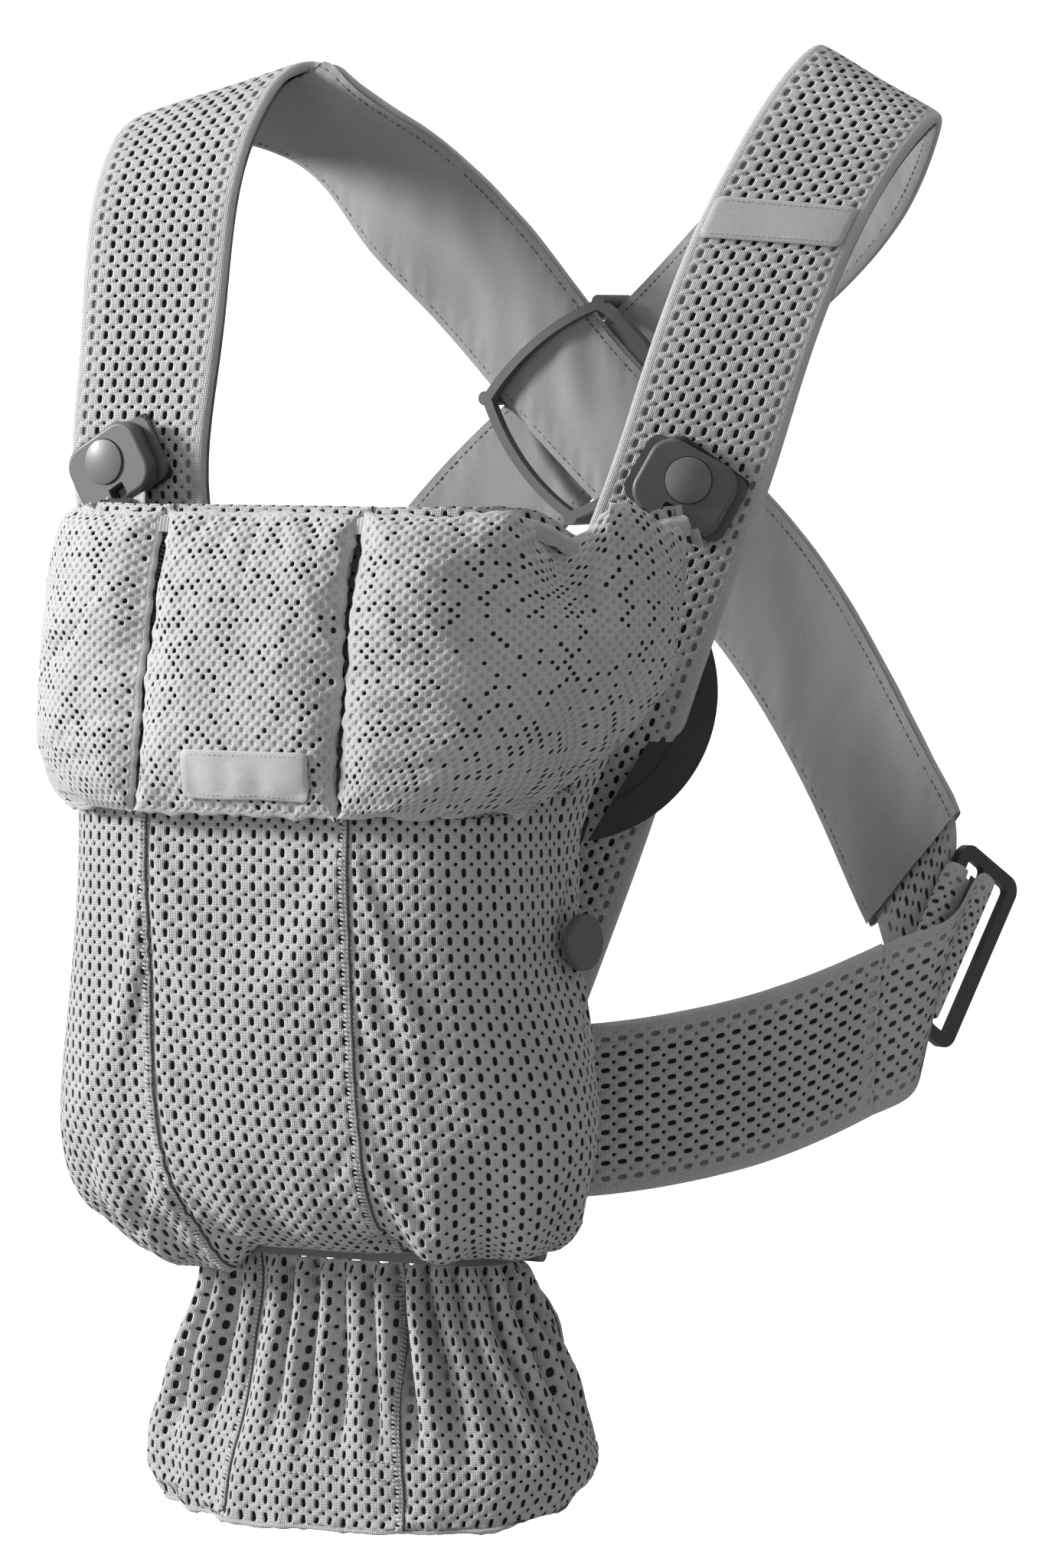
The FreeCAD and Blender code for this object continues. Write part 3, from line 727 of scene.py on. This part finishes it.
def moulded_material(name, colour, roughness, strength=0.12, coat=0.0):
    """Moulded plastic or rubber with a fine grain and slightly uneven gloss."""
    made, tree, shader = node_tree(name, roughness, Coat_Weight=coat, Specular_IOR_Level=0.5)
    solid = add_node(tree, "TexCoord").outputs["Object"]
    noise = add_node(tree, "TexNoise", {}, {"Scale": 1400, "Detail": 4}, {"Vector": solid})
    bump = add_node(tree, "Bump", {}, {"Strength": strength, "Distance": 0.0002}, {"Height": noise.outputs["Fac"]})
    tree.links.new(bump.outputs["Normal"], shader.inputs["Normal"])
    wide = add_node(tree, "TexNoise", {}, {"Scale": 60}, {"Vector": solid})
    uneven = add_node(tree, "MapRange", {}, {"To Min": roughness - 0.07, "To Max": roughness + 0.07},
                      {"Value": wide.outputs["Fac"]})
    tree.links.new(uneven.outputs["Result"], shader.inputs["Roughness"])
    tint(tree, shader, solid, colour, 0.08, ((25, 0.6), (500, 0.4)))
    return made


def grey(value):
    return (value, value, value)


MESH = cloth_material("mesh_knit", grey(0.47), strength=0.8)
MESH_BOTTOM = cloth_material("mesh_inner_layer", grey(0.035), strength=0.3, sheen=0.1)
# A darker grey for the closed, shallow dimples of the mesh: painted shade, not a cloth of its own
MESH_DIMPLE_PAINTED_SHADE = cloth_material("mesh_dimple_painted_shade", grey(0.17), strength=0.3, sheen=0.1)
PANEL = cloth_material("panel_knit", grey(0.44), strength=0.8)
PAD = cloth_material("head_pad_knit", grey(0.45), rib=0.6, course=0.7, strength=0.5)
PAD_BOTTOM = cloth_material("head_pad_inner_layer", grey(0.03), strength=0.3, sheen=0.1)
# A darker grey for the head pad's closed, shallow dimples: painted shade
PAD_DIMPLE_PAINTED_SHADE = cloth_material("head_pad_dimple_painted_shade", grey(0.38), strength=0.3)
LINING = cloth_material("smooth_lining", grey(0.29), rib=0.35, course=0.35, strength=0.3, sheen=0.35, fuzz=0.08)
WEBBING = cloth_material("dark_webbing", grey(0.04), rib=1.2, course=1.6, strength=0.9, sheen=0.15)
LABEL = cloth_material("plain_label", grey(0.44), rib=0.3, course=0.5, strength=0.25, fuzz=0.05)
THREAD = cloth_material("thread", grey(0.40), rib=0.3, course=0.3, strength=0.1, fuzz=0.1)
DARK_THREAD = cloth_material("dark_thread", grey(0.07), rib=0.3, course=0.3, strength=0.1, fuzz=0.1)
DARK_PLASTIC = moulded_material("dark_plastic", grey(0.03), 0.42)
GREY_PLASTIC = moulded_material("grey_plastic", grey(0.085), 0.5, coat=0.05)
BUTTON_PLASTIC = moulded_material("button_plastic", grey(0.13), 0.45, coat=0.05)
SOFT_RUBBER = moulded_material("soft_rubber", grey(0.032), 0.62, strength=0.2)
STEEL, _, steel_shader = node_tree("spring_steel", 0.3, Metallic=1.0)
tint(STEEL.node_tree, steel_shader, add_node(STEEL.node_tree, "TexCoord").outputs["Object"],
     grey(0.6), 0.05, ((200, 1.0),))
FABRIC = [MESH, MESH_BOTTOM, MESH_DIMPLE_PAINTED_SHADE]
PANEL_FABRIC = [PANEL, MESH_BOTTOM, MESH_DIMPLE_PAINTED_SHADE]
PAD_FABRIC = [PAD, PAD_BOTTOM, PAD_DIMPLE_PAINTED_SHADE]

for node, finish in (
    ("slider", DARK_PLASTIC), ("leg_socket", DARK_PLASTIC), ("leg_button", GREY_PLASTIC),
    ("clip_body", GREY_PLASTIC), ("clip_button", BUTTON_PLASTIC), ("buckle_plate", GREY_PLASTIC),
    ("clip_spring", STEEL), ("side_guard", SOFT_RUBBER), ("back_crosspiece", GREY_PLASTIC),
    ("size_ring", GREY_PLASTIC),
):
    for name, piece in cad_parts.items():
        if name.startswith(node):
            piece.data.materials.clear()
            piece.data.materials.append(finish)


def put(piece, body, slot, *nodes):
    """Rides a piece on its body and hides the nodes that it stands for. slot is not used."""
    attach(piece, body)
    if nodes:
        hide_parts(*nodes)
    return piece


def band(kind, side, face, hem, under, step, height, thread_places, count, **thread):
    """Webbing in layers: the mesh over its foam with rolled hems, the lining and the lining's stitches."""
    fabric = weave(f"{kind}_mesh_{side}_cloth", face, FABRIC)
    put(fabric, "harness", "harness_mesh", f"{kind}_mesh_{side}", f"{kind}_foam_{side}")
    edge = rolled(f"{kind}_hem_{side}", face, [MESH], ["left", "right"], hem)
    put(edge, "harness", "harness_mesh")
    under.outward = -face.outward
    lining = sheet_mesh(f"{kind}_lining_{side}_cloth", under, [LINING], step, height)
    put(lining, "harness", "lining_fabric", f"{kind}_lining_{side}")
    for u in thread_places:
        path, normals = seam_path(under, u=u, count=count)
        put(stitches(f"{kind}_stitch_{side}_{int(u * 1000)}", path, normals, [DARK_THREAD], pitch=3.4, **thread),
            "harness", "lining_fabric")


# Shoulder straps
strap_faces = {}
for side, stations, outward, seed in (("left", LEFT_STRAP, 1, 3), ("right", RIGHT_STRAP, -1, 4)):
    middle = strap_surface(stations, STRAP_WIDTH - 2 * HEM, outward)

    def crown(u, v):
        edge = 0.5 * (2 * u - 1) ** 4
        return OUTER_FACE - edge + 0.35 * ripple(u * 60, v * middle.length, seed, 45)

    def puckers(x, y):
        """Folds of the lining, which its stitches pull in near each edge."""
        border = np.minimum(x, LINING_WIDTH - x)
        groove = -0.35 * np.exp(-((border - 3.5) / 0.7) ** 2)
        folds = 0.6 * ripple(x + 0.7 * y, 0.25 * y - x * 0.2, seed + 10, 26) * blur(border / 12)
        pulls = 0.35 * np.sin(2 * math.pi * (y + 0.8 * x) / 9.5) * np.exp(-((border - 7) / 5) ** 2)
        return groove + folds + pulls * (0.6 + 0.4 * ripple(x, y, seed + 15, 30)) - 0.8 * (1 - blur(border / 2.2))

    strap_faces[side] = middle.raised(crown)
    under = strap_surface(stations, LINING_WIDTH, outward).raised(LINING_FACE - 1.5)
    band("strap", side, strap_faces[side], hem_profile(OUTER_FACE, LINING_FACE + 0.4), under, 2.2, puckers,
         (0.055, 0.945), count=400, length=2.3, radius=0.32, lift=-0.15)

# Waist belt
for side, sign in (("left", -1), ("right", 1)):
    stations = [((sign * x, y, z), across) for (x, y, z), across in BELT]
    face = strap_surface(stations, BELT_HEIGHT - 2 * HEM, -sign).raised(
        lambda u, v: OUTER_FACE + 0.3 * ripple(u * 66, v * 215, 21, 50))
    under = strap_surface(stations, BELT_HEIGHT - 1, -sign).raised(LINING_FACE - 0.9)
    band("belt", side, face, hem_profile(OUTER_FACE, LINING_FACE), under, 2.5,
         lambda x, y: 0.5 * ripple(x + 0.5 * y, y, 31, 30) * blur(np.minimum(x, 73 - x) / 8),
         (0.05, 0.95), count=200, length=2.2, radius=0.28, lift=-0.1)


# Hips: the belt's end turned round the slider's middle bar, the strap's tab round its rear bar
TURN_R = 5.2
front_bar = SLIDER_CENTRE - SLIDER_ACROSS * BAR_OFFSET
belt_route = [
    (np.array([168.6, 7.0, -405.2]), (0, .12, 1), 68.0),
    (np.array([178.0, 17.2, -400.0]), (-.01, .13, .99), 68.0),
    (np.array([187.4, 31, -391]), (.05, .30, .95), 66.0),
    (SLIDER_CENTRE + SLIDER_NORMAL * (TURN_R + 1.6) - SLIDER_ACROSS * 5, SLIDER_UP),
    (SLIDER_CENTRE + SLIDER_NORMAL * TURN_R * 0.8 + SLIDER_ACROSS * TURN_R * 0.7, SLIDER_UP),
    (SLIDER_CENTRE + SLIDER_ACROSS * TURN_R, SLIDER_UP),
    (SLIDER_CENTRE - SLIDER_NORMAL * TURN_R * 0.8 + SLIDER_ACROSS * TURN_R * 0.7, SLIDER_UP),
    (SLIDER_CENTRE - SLIDER_NORMAL * (TURN_R + 0.2) - SLIDER_ACROSS * 3, SLIDER_UP),
]
tab_route = [
    (np.array([164.0, 55.5, -335]), (.62, -.02, .74)),
    (np.array([169.0, 53, -347]), (.45, .22, .82)),
    (front_bar - SLIDER_NORMAL * (TURN_R + 1.5) + SLIDER_ACROSS * 3, SLIDER_UP),
    (front_bar - SLIDER_NORMAL * TURN_R * 0.8 - SLIDER_ACROSS * TURN_R * 0.7, SLIDER_UP),
    (front_bar - SLIDER_ACROSS * TURN_R, SLIDER_UP),
    (front_bar + SLIDER_NORMAL * TURN_R * 0.8 - SLIDER_ACROSS * TURN_R * 0.6, SLIDER_UP),
    (front_bar + SLIDER_NORMAL * (TURN_R - 0.6) + SLIDER_ACROSS * 3, SLIDER_UP),
]
for side, sign in (("left", -1), ("right", 1)):
    mirror = np.array([sign, 1, 1])
    for part, route, width, body in (
        ("belt_end", belt_route, BELT_HEIGHT - 2 * HEM, f"slider_{side}"),
        ("strap_tab", tab_route, STRAP_WIDTH - 10, "harness"),
    ):
        stations = [(s[0] * mirror, s[1] * mirror, s[2] if len(s) > 2 else 62.0) for s in route]
        surface = strap_surface(stations, width, -sign, rows=60)
        fabric = weave(f"{part}_{side}_cloth", surface, FABRIC, soft=1, depth=0.6, dot_depth=0.4)
        back = surface.raised(-0.9)
        back.outward = -surface.outward
        inner = sheet_mesh(f"{part}_{side}_inside", back, [LINING], 1.6)
        edge = rolled(f"{part}_{side}_hem", surface, [MESH], ALL_EDGES,
                      hem_profile(0.0, -0.9, 3.4))
        for piece in (fabric, inner, edge):
            if part == "belt_end":
                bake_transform(piece)
            else:
                put(piece, body, "harness_mesh")
        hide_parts(f"{part}_{side}", *([f"strap_loop_{side}"] if part == "strap_tab" else []))

# Front panel, seat and tail
SECTIONS = {"left": (0, 4, 46), "center": (4, 6, 33), "right": (6, 10, 46)}
POUCH_ROWS = 100
POUCH_PLEATS = 3.6
POUCH_SLACK = 1.2
OVER_RING_OUT, OVER_RING_DOWN = 8, 5
RING_BULGE, RING_POCKET = 4, 8
DIP_BESIDE_CLIP = 15
TAIL_ROWS = 50
TAIL_PLEATS, TAIL_PLEAT_PITCH = 5.6, 15.5
TAIL_ROUNDING = 20.0


def joined(surfaces):
    """Surfaces side by side as one grid."""
    grids = [surfaces[0].grid] + [s.grid[:, 1:] for s in surfaces[1:]]
    return Surface(np.concatenate(grids, axis=1), surfaces[0].outward)


def split(surface, counts):
    """The grid cut back into its sections."""
    found, at = [], 0
    for count in counts:
        found.append(Surface(surface.grid[:, at:at + count], surface.outward))
        at += count - 1
    return found


counts = [count for _, _, count in SECTIONS.values()]
laid_out = {part: plan_surface(POUCH_PLAN, *section, POUCH_ROWS) for part, section in SECTIONS.items()}
flat_pouch = pouch = joined(list(laid_out.values()))
rows, columns = pouch.grid.shape[:2]
depth_of = pouch.grid[:, columns // 2, 2]
u, v = lanes(rows, columns)
near_ring = blur((-depth_of - 425) / 60)[:, None]
at_ring = 1 - blur((v - 0.93) / 0.07)
pleats = ripple(u * 420, v * 20, 41, 26, 5) * POUCH_PLEATS * near_ring * at_ring
slack = ripple(u * 420, v * 330, 42, 120, 5) * POUCH_SLACK * np.sin(math.pi * v)
point, _, _, normal = pouch.frame(u, v)
over_ring = blur((-24 - point[..., 0]) / 22) * blur((v - 0.9) / 0.1) * (1 - blur((point[..., 1] + 150) / 22))
bulge = np.exp(-((point[..., 0] - 66) / 13) ** 2 - ((v - 0.91) / 0.035) ** 2)
pocket = np.exp(-((point[..., 0] - 46) / 8) ** 2 - ((v - 0.95) / 0.03) ** 2)
beside_clip = np.exp(-((point[..., 0] - 121) / 9) ** 2) * (1 - blur(v / 0.12))
out = pleats + slack + OVER_RING_OUT * over_ring + RING_BULGE * bulge - RING_POCKET * pocket
down = OVER_RING_DOWN * over_ring + DIP_BESIDE_CLIP * beside_clip
UP = np.array([0, 0, 1.0])
pouch = Surface(pouch.grid + normal * out[..., None] - UP * down[..., None], -1)
pins = np.zeros((rows, columns))
pins[0] = 1
pins[-1] = 1
pins[:, 0] = pins[:, -1] = 0.9
for seam in (counts[0] - 1, counts[0] + counts[1] - 2):
    pins[:, seam] = 0.5
pouch = drape(pouch, pins, 0.005, 2.2)
pouch_parts = dict(zip(SECTIONS, split(pouch, counts)))


def across_fold(piece, slot, *nodes):
    """Panel cloth with its world placement baked into its points, in place of the nodes that it stands for."""
    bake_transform(piece)
    if nodes:
        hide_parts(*nodes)
    return piece


for part, surface in pouch_parts.items():
    node = "panel_center" if part == "center" else f"panel_side_{part}"
    fabric = weave(f"{node}_cloth", surface, PANEL_FABRIC, soft=0, tuck=1.5)
    across_fold(fabric, "panel_mesh", node, *(["seat_gather"] if part == "center" else []))
    if part != "center":
        across_fold(rolled(f"{node}_hem", surface, [PANEL], [part], hem_profile(0, -3.4, 3.2)),
                                "panel_mesh")
inside = pouch.raised(-3.0)
inside.outward = 1
lining = sheet_mesh("panel_lining_cloth", inside, [LINING], 3.0,
                    lambda x, y: 0.5 * ripple(x, y, 51, 40) + 0.2 * ripple(x, y, 52, 9))
across_fold(lining, "lining_fabric", "panel_lining")


def bound_seam(name, surface, line, put_on):
    """A seam between two sections: a dark line where they meet and a band of overlock beside it."""
    path, normals = seam_path(surface, u=line, count=240)
    put_on(stitches(f"{name}_line", path, normals, [DARK_THREAD], pitch=2.0, length=2.6, radius=0.5, lift=-0.9))
    for row, (lean, shift, size) in {"overlock": (1.25, -2.2, 3.0), "chain": (0.35, -0.7, 1.9)}.items():
        put_on(stitches(f"{name}_{row}", path, normals, [PANEL], pitch=1.9, length=size, side=shift,
                        radius=0.6 if size > 2 else 0.42, slant=lean, lift=-0.55))


for part, line in (("left", 0.0), ("right", 1.0)):
    bound_seam(f"panel_seam_{part}", pouch_parts["center"], line, lambda piece: across_fold(piece, "panel_mesh"))

tail_counts = [40, 29, 40]
tail = joined([plan_surface(TAIL_PLAN, a, b, n, TAIL_ROWS) for (a, b, _), n in zip(SECTIONS.values(), tail_counts)])
rows, columns = tail.grid.shape[:2]
u, v = lanes(rows, columns)
_, _, _, normal = tail.frame(u, v)
across_mm = (u - 0.5) * tail.width
skewed = across_mm * (1 - 0.16 * v) - 6 * v
crest = np.abs(np.mod(skewed / TAIL_PLEAT_PITCH + 0.35 * ripple(u * 3, v * 0, 63, 1.4), 1) * 2 - 1)
pleats = (1.0 - 2.6 * (1 - crest) ** 2) * TAIL_PLEATS * (0.7 + 0.3 * ripple(across_mm, v * 0, 64, 50))
gather = (pleats * (1 - blur((v - 0.35) / 0.5)) * blur(v / 0.12 + 0.3) + ripple(across_mm, v * 40, 62, 60, 5) * 2.6
          + ripple(across_mm, v * 12, 65, 24, 4) * 1.6 * blur(v / 0.5))
rounding = TAIL_ROUNDING * np.abs(2 * u - 1) ** 3 * blur((v - 0.55) / 0.45)
tail = Surface(tail.grid + normal * gather[..., None] + UP * rounding[..., None], -1)
pins = np.zeros((rows, columns))
pins[0] = 1
pins[:, 0] = pins[:, -1] = 0.7
pins[-1] = 0.8
tail = drape(tail, pins, 0.014, 2.5, gravity=0.6)
for part, surface in zip(SECTIONS, split(tail, tail_counts)):
    fabric = weave(f"tail_{part}_cloth", surface, PANEL_FABRIC, soft=0, tuck=1.2)
    put(fabric, "harness", "panel_mesh", *(["tail"] if part == "center" else []))
    if part == "center":
        for end, line in (("left", 0.0), ("right", 1.0)):
            bound_seam(f"tail_seam_{end}", surface, line, lambda piece: put(piece, "harness", "panel_mesh"))
        for row, place in (("high", 0.735), ("low", 0.80)):
            path, normals = seam_path(surface, v=place, start=0.03, end=0.97, count=90)
            put(stitches(f"tail_tunnel_{row}", path, normals, [PANEL], pitch=2.4, length=1.9, radius=0.4, lift=0.15),
                "harness", "panel_mesh")
inside = tail.raised(-2.6)
inside.outward = 1
lining = put(sheet_mesh("tail_inside_cloth", inside, [LINING], 3.0), "harness", "lining_fabric")
hem = rolled("tail_hem", tail, [PANEL], ["left", "right", "end"], hem_profile(-0.3, -2.6, 0.9))
put(hem, "harness", "panel_mesh")

# Fold of the panel's top edge, under the head support
fold = [(-6.0, -3.6)] + [
    (3.4 * math.sin(a) - 7.6, 1.4 - 5.2 * math.cos(a)) for a in np.linspace(0, math.pi, 12)
] + [(-13.0, 6.8)]
put(rolled("panel_top_fold", pouch, [PANEL], ["start"], fold), "front_panel", "panel_mesh")

def sewn_patch(name, node, body, slot, surface, spot, size, material, under, **form):
    """A patch of cloth on a surface, put on its body in place of its node."""
    piece = patch(name, surface, spot, size, [material], **form)
    put(piece, body, slot, node)


def sewn_label(kind, body, surface, spot, under, lift, thread_lift, row, reach):
    """A plain label with a row of stitches along its top and bottom."""
    sewn_patch(f"{kind}_label_cloth", f"{kind}_label", body, "label_cloth", surface, spot, LABEL_SIZE, LABEL,
               under, thick=0.7, lift=lift)
    t = np.linspace(-reach, reach, 40)
    for place, shift in (("high", -row), ("low", row)):
        u, v = (spot[0] + t) / surface.width, np.full(40, (spot[1] + shift) / surface.length)
        point, _, _, normal = surface.frame(u, v)
        put(stitches(f"{kind}_label_stitch_{place}", point, normal, [THREAD], pitch=2.2, length=1.5,
                     radius=0.22, lift=thread_lift), body, "label_cloth")


# Head support: three puffed pads
LABEL_SIZE = (58, 20)
PAD_THICK = 6.2
PAD_VALLEY = 3.8
PAD_VALLEY_WIDTH = 17.0
PAD_PITCH = 5.4
PAD_INSET = 2.2


def pad_top(surface):
    """The right wing, whose top edge dips and turns in beside the clip before it rises over it."""
    u, v = lanes(*surface.grid.shape[:2])
    point, _, _, normal = surface.frame(u, v)
    near_top = 1 - blur(v / 0.42)
    away = point[..., 0]
    dip = np.exp(-((away - 123) / 7.5) ** 2)
    end = blur((away - 139) / 9)
    drop = (13 * dip + 12 * end - 4 * np.exp(-((away - 135) / 5) ** 2)) * near_top
    pocket = -7 * dip * near_top + 3 * np.exp(-((away - 108) / 9) ** 2) * near_top
    return Surface(point + normal * pocket[..., None] - UP * drop[..., None], surface.outward)


for part, (first, last, count) in SECTIONS.items():
    body = "head_center" if part == "center" else f"head_wing_{part}"
    node = "center" if part == "center" else f"wing_{part}"
    outer = plan_surface(PAD_PLAN, first, last, count, 44)
    if part == "right":
        outer = pad_top(outer)
    flat_pad = outer.inset(PAD_INSET)
    outer, inner = inflate(flat_pad, PAD_THICK, 4.5, 1.0)

    def crown(u, v):
        border = np.minimum(np.minimum(u, 1 - u) * flat_pad.width, np.minimum(v, 1 - v) * flat_pad.length)
        slope = 1 - np.sin(math.pi / 2 * np.clip(border / PAD_VALLEY_WIDTH, 0, 1))
        return 0.8 * ripple(u * 100, v * 130, 71 + count, 34) - PAD_VALLEY * slope

    outer = outer.raised(crown)
    cloth = weave(f"head_pad_{node}_cloth", outer, PAD_FABRIC, soft=0, columns=round(outer.width / PAD_PITCH),
                  rows=round(outer.length / PAD_PITCH), oval=(0.95, 1.1), dot=1.0, depth=1.2, dot_depth=1.1,
                  swell=0.14, open_share=0.33, seed=count + len(part))
    put(cloth, body, "head_mesh", f"head_cover_{node}", f"head_foam_{node}")
    behind = Surface(inner.grid, 1)
    back = weave(f"head_pad_{node}_back", behind, PANEL_FABRIC, soft=0, tuck=0.4)
    put(back, body, "head_mesh")
    hem = rolled(f"head_pad_{node}_edge", outer, [PAD], ALL_EDGES,
                 hem_profile(0, PAD_VALLEY - PAD_THICK, 2.4))
    put(hem, body, "head_mesh")
    if part == "center":
        sewn_label("head", body, outer, locate(outer, (9, -240, -287)), cloth.name, lift=0.9, thread_lift=1.6,
                   row=8.2, reach=25)

# Patches, tabs and the strap's label
for kind, size, places, form in (
    ("buckle_patch", (40, 32), {"left": (-146, -95, -165), "right": (131, -89.6, -171)},
     {"thick": 1.0, "lift": 0.1, "angle": 0.5}),
    ("guard_tab", (11, 34), {"left": (-72, -94.5, -326), "right": (72, -90.5, -326)}, {"corner": 1, "lift": 0.2}),
):
    for side, place in places.items():
        face = strap_faces[side]
        sewn_patch(f"{kind}_{side}_cloth", f"{kind}_{side}", "harness", "dark_webbing", face, locate(face, place),
                   size, WEBBING, f"strap_mesh_{side}_cloth", **form)
face = strap_faces["right"]
sewn_label("strap", "harness", face, locate(face, (156, -54, -60)), "strap_mesh_right_cloth", lift=0.3,
           thread_lift=1.05, row=8.0, reach=26)

# Panel ears and the ring's hanger
EARS = {
    "left": [
        ((-134, -112, -186), (.9, -.3, 0)),
        ((-137, -109, -183), (.9, -.2, .15)),
        ((-140, -104.5, -180), (.87, -.04, .45)),
    ],
    "right": [
        ((134, -112, -186.5), (.9, .3, 0)),
        ((134, -107, -189), (.84, .37, -.3)),
        ((131.5, -101.5, -188.5), (.757, .437, -.485)),
    ],
}
for side, stations in EARS.items():
    surface = strap_surface(stations, 22, 1, rows=10)
    ear = weave(f"panel_ear_{side}_cloth", surface, PANEL_FABRIC, soft=0, columns=3, rows=1, depth=0.6)
    put(ear, "front_panel", "panel_mesh", f"panel_ear_{side}")
    hem = rolled(f"panel_ear_{side}_hem", surface, [PANEL], ALL_EDGES,
                 hem_profile(0, -1.2, 2.4), step=1.5)
    put(hem, "front_panel", "panel_mesh")
hanger = strap_surface([
    ((0, -79, -474.5), (1, 0, 0)), ((0, -90, -484), (1, 0, 0)), ((0, -105.2, -487.1), (1, 0, 0)),
], 48, 1, rows=14)
strip = sheet_mesh("ring_hanger_cloth", hanger, [WEBBING], 1.5)
put(strip, "harness", "dark_webbing", "ring_hanger")
hem = rolled("ring_hanger_hem", hanger, [WEBBING], ALL_EDGES, hem_profile(0, -1.2, 1.6))
put(hem, "harness", "dark_webbing")


# Studio
def backdrop():
    """A pale floor that curves up into a wall all round and closes overhead."""
    floor, reach, bend, wall = -700.0, 7000.0, 2000.0, 4000.0
    profile = [(1.0, floor)]
    for a in np.linspace(0, math.pi / 2, 14):
        profile.append((reach + bend * math.sin(a), floor + bend * (1 - math.cos(a))))
    for a in np.linspace(0, math.pi / 2, 20):
        profile.append(((reach + bend) * math.cos(a) + 1.0, wall + bend * math.sin(a)))
    turns = np.linspace(0, 2 * math.pi, 73)
    points = [(r * math.cos(turn), r * math.sin(turn), z) for r, z in profile for turn in turns]
    made, tree, shader = node_tree("backdrop", 0.9)
    tint(tree, shader, add_node(tree, "TexCoord").outputs["Object"], grey(0.9), 0.01, ((2, 1.0),))
    shader.inputs["Emission Color"].default_value = (1, 1, 1, 1)
    shader.inputs["Emission Strength"].default_value = 1.0
    return make_mesh("backdrop", points, [grid_faces(len(profile), len(turns))], None, None, [made])


# The room is only seen: the lamps and the world light the carrier evenly from every side
room = backdrop()
room.visible_diffuse = room.visible_glossy = room.visible_transmission = room.visible_shadow = False
TARGET = Vector((9, -15, -302)) * MM


def area_light(name, place, power, size):
    data = bpy.data.lights.new(name, "AREA")
    data.energy = power
    data.shape = "DISK"
    data.size = size
    light = bpy.data.objects.new(name, data)
    light.location = place
    light.visible_camera = False
    light.rotation_euler = (TARGET - Vector(place)).to_track_quat("-Z", "Y").to_euler()
    bpy.context.scene.collection.objects.link(light)


area_light("key", (-2.8, -1.7, 0.9), 195, 0.8)
area_light("fill", (-0.8, -2.7, -0.4), 12, 2.0)
area_light("top", (-0.4, 0.3, 2.4), 20, 1.2)
world = bpy.data.worlds.new("studio")
world.use_nodes = True
world.node_tree.nodes["Background"].inputs["Color"].default_value = (1, 1, 1, 1)
world.node_tree.nodes["Background"].inputs["Strength"].default_value = 0.40
bpy.context.scene.world = world
bpy.context.scene.view_settings.view_transform = "Standard"

CAMERA_AZIMUTH = math.radians(30)
CAMERA_ELEVATION = math.radians(3.4)
CAMERA_DISTANCE = 3.2
CAMERA_LENS = 168.7
camera = bpy.data.objects.new("camera", bpy.data.cameras.new("camera"))
camera.data.lens = CAMERA_LENS
camera.data.sensor_width = 36
flat = math.cos(CAMERA_ELEVATION)
camera.location = TARGET + CAMERA_DISTANCE * Vector((
    math.sin(CAMERA_AZIMUTH) * flat, -math.cos(CAMERA_AZIMUTH) * flat, math.sin(CAMERA_ELEVATION),
))
camera.rotation_euler = (TARGET - camera.location).to_track_quat("-Z", "Y").to_euler()
bpy.context.scene.collection.objects.link(camera)
bpy.context.scene.camera = camera
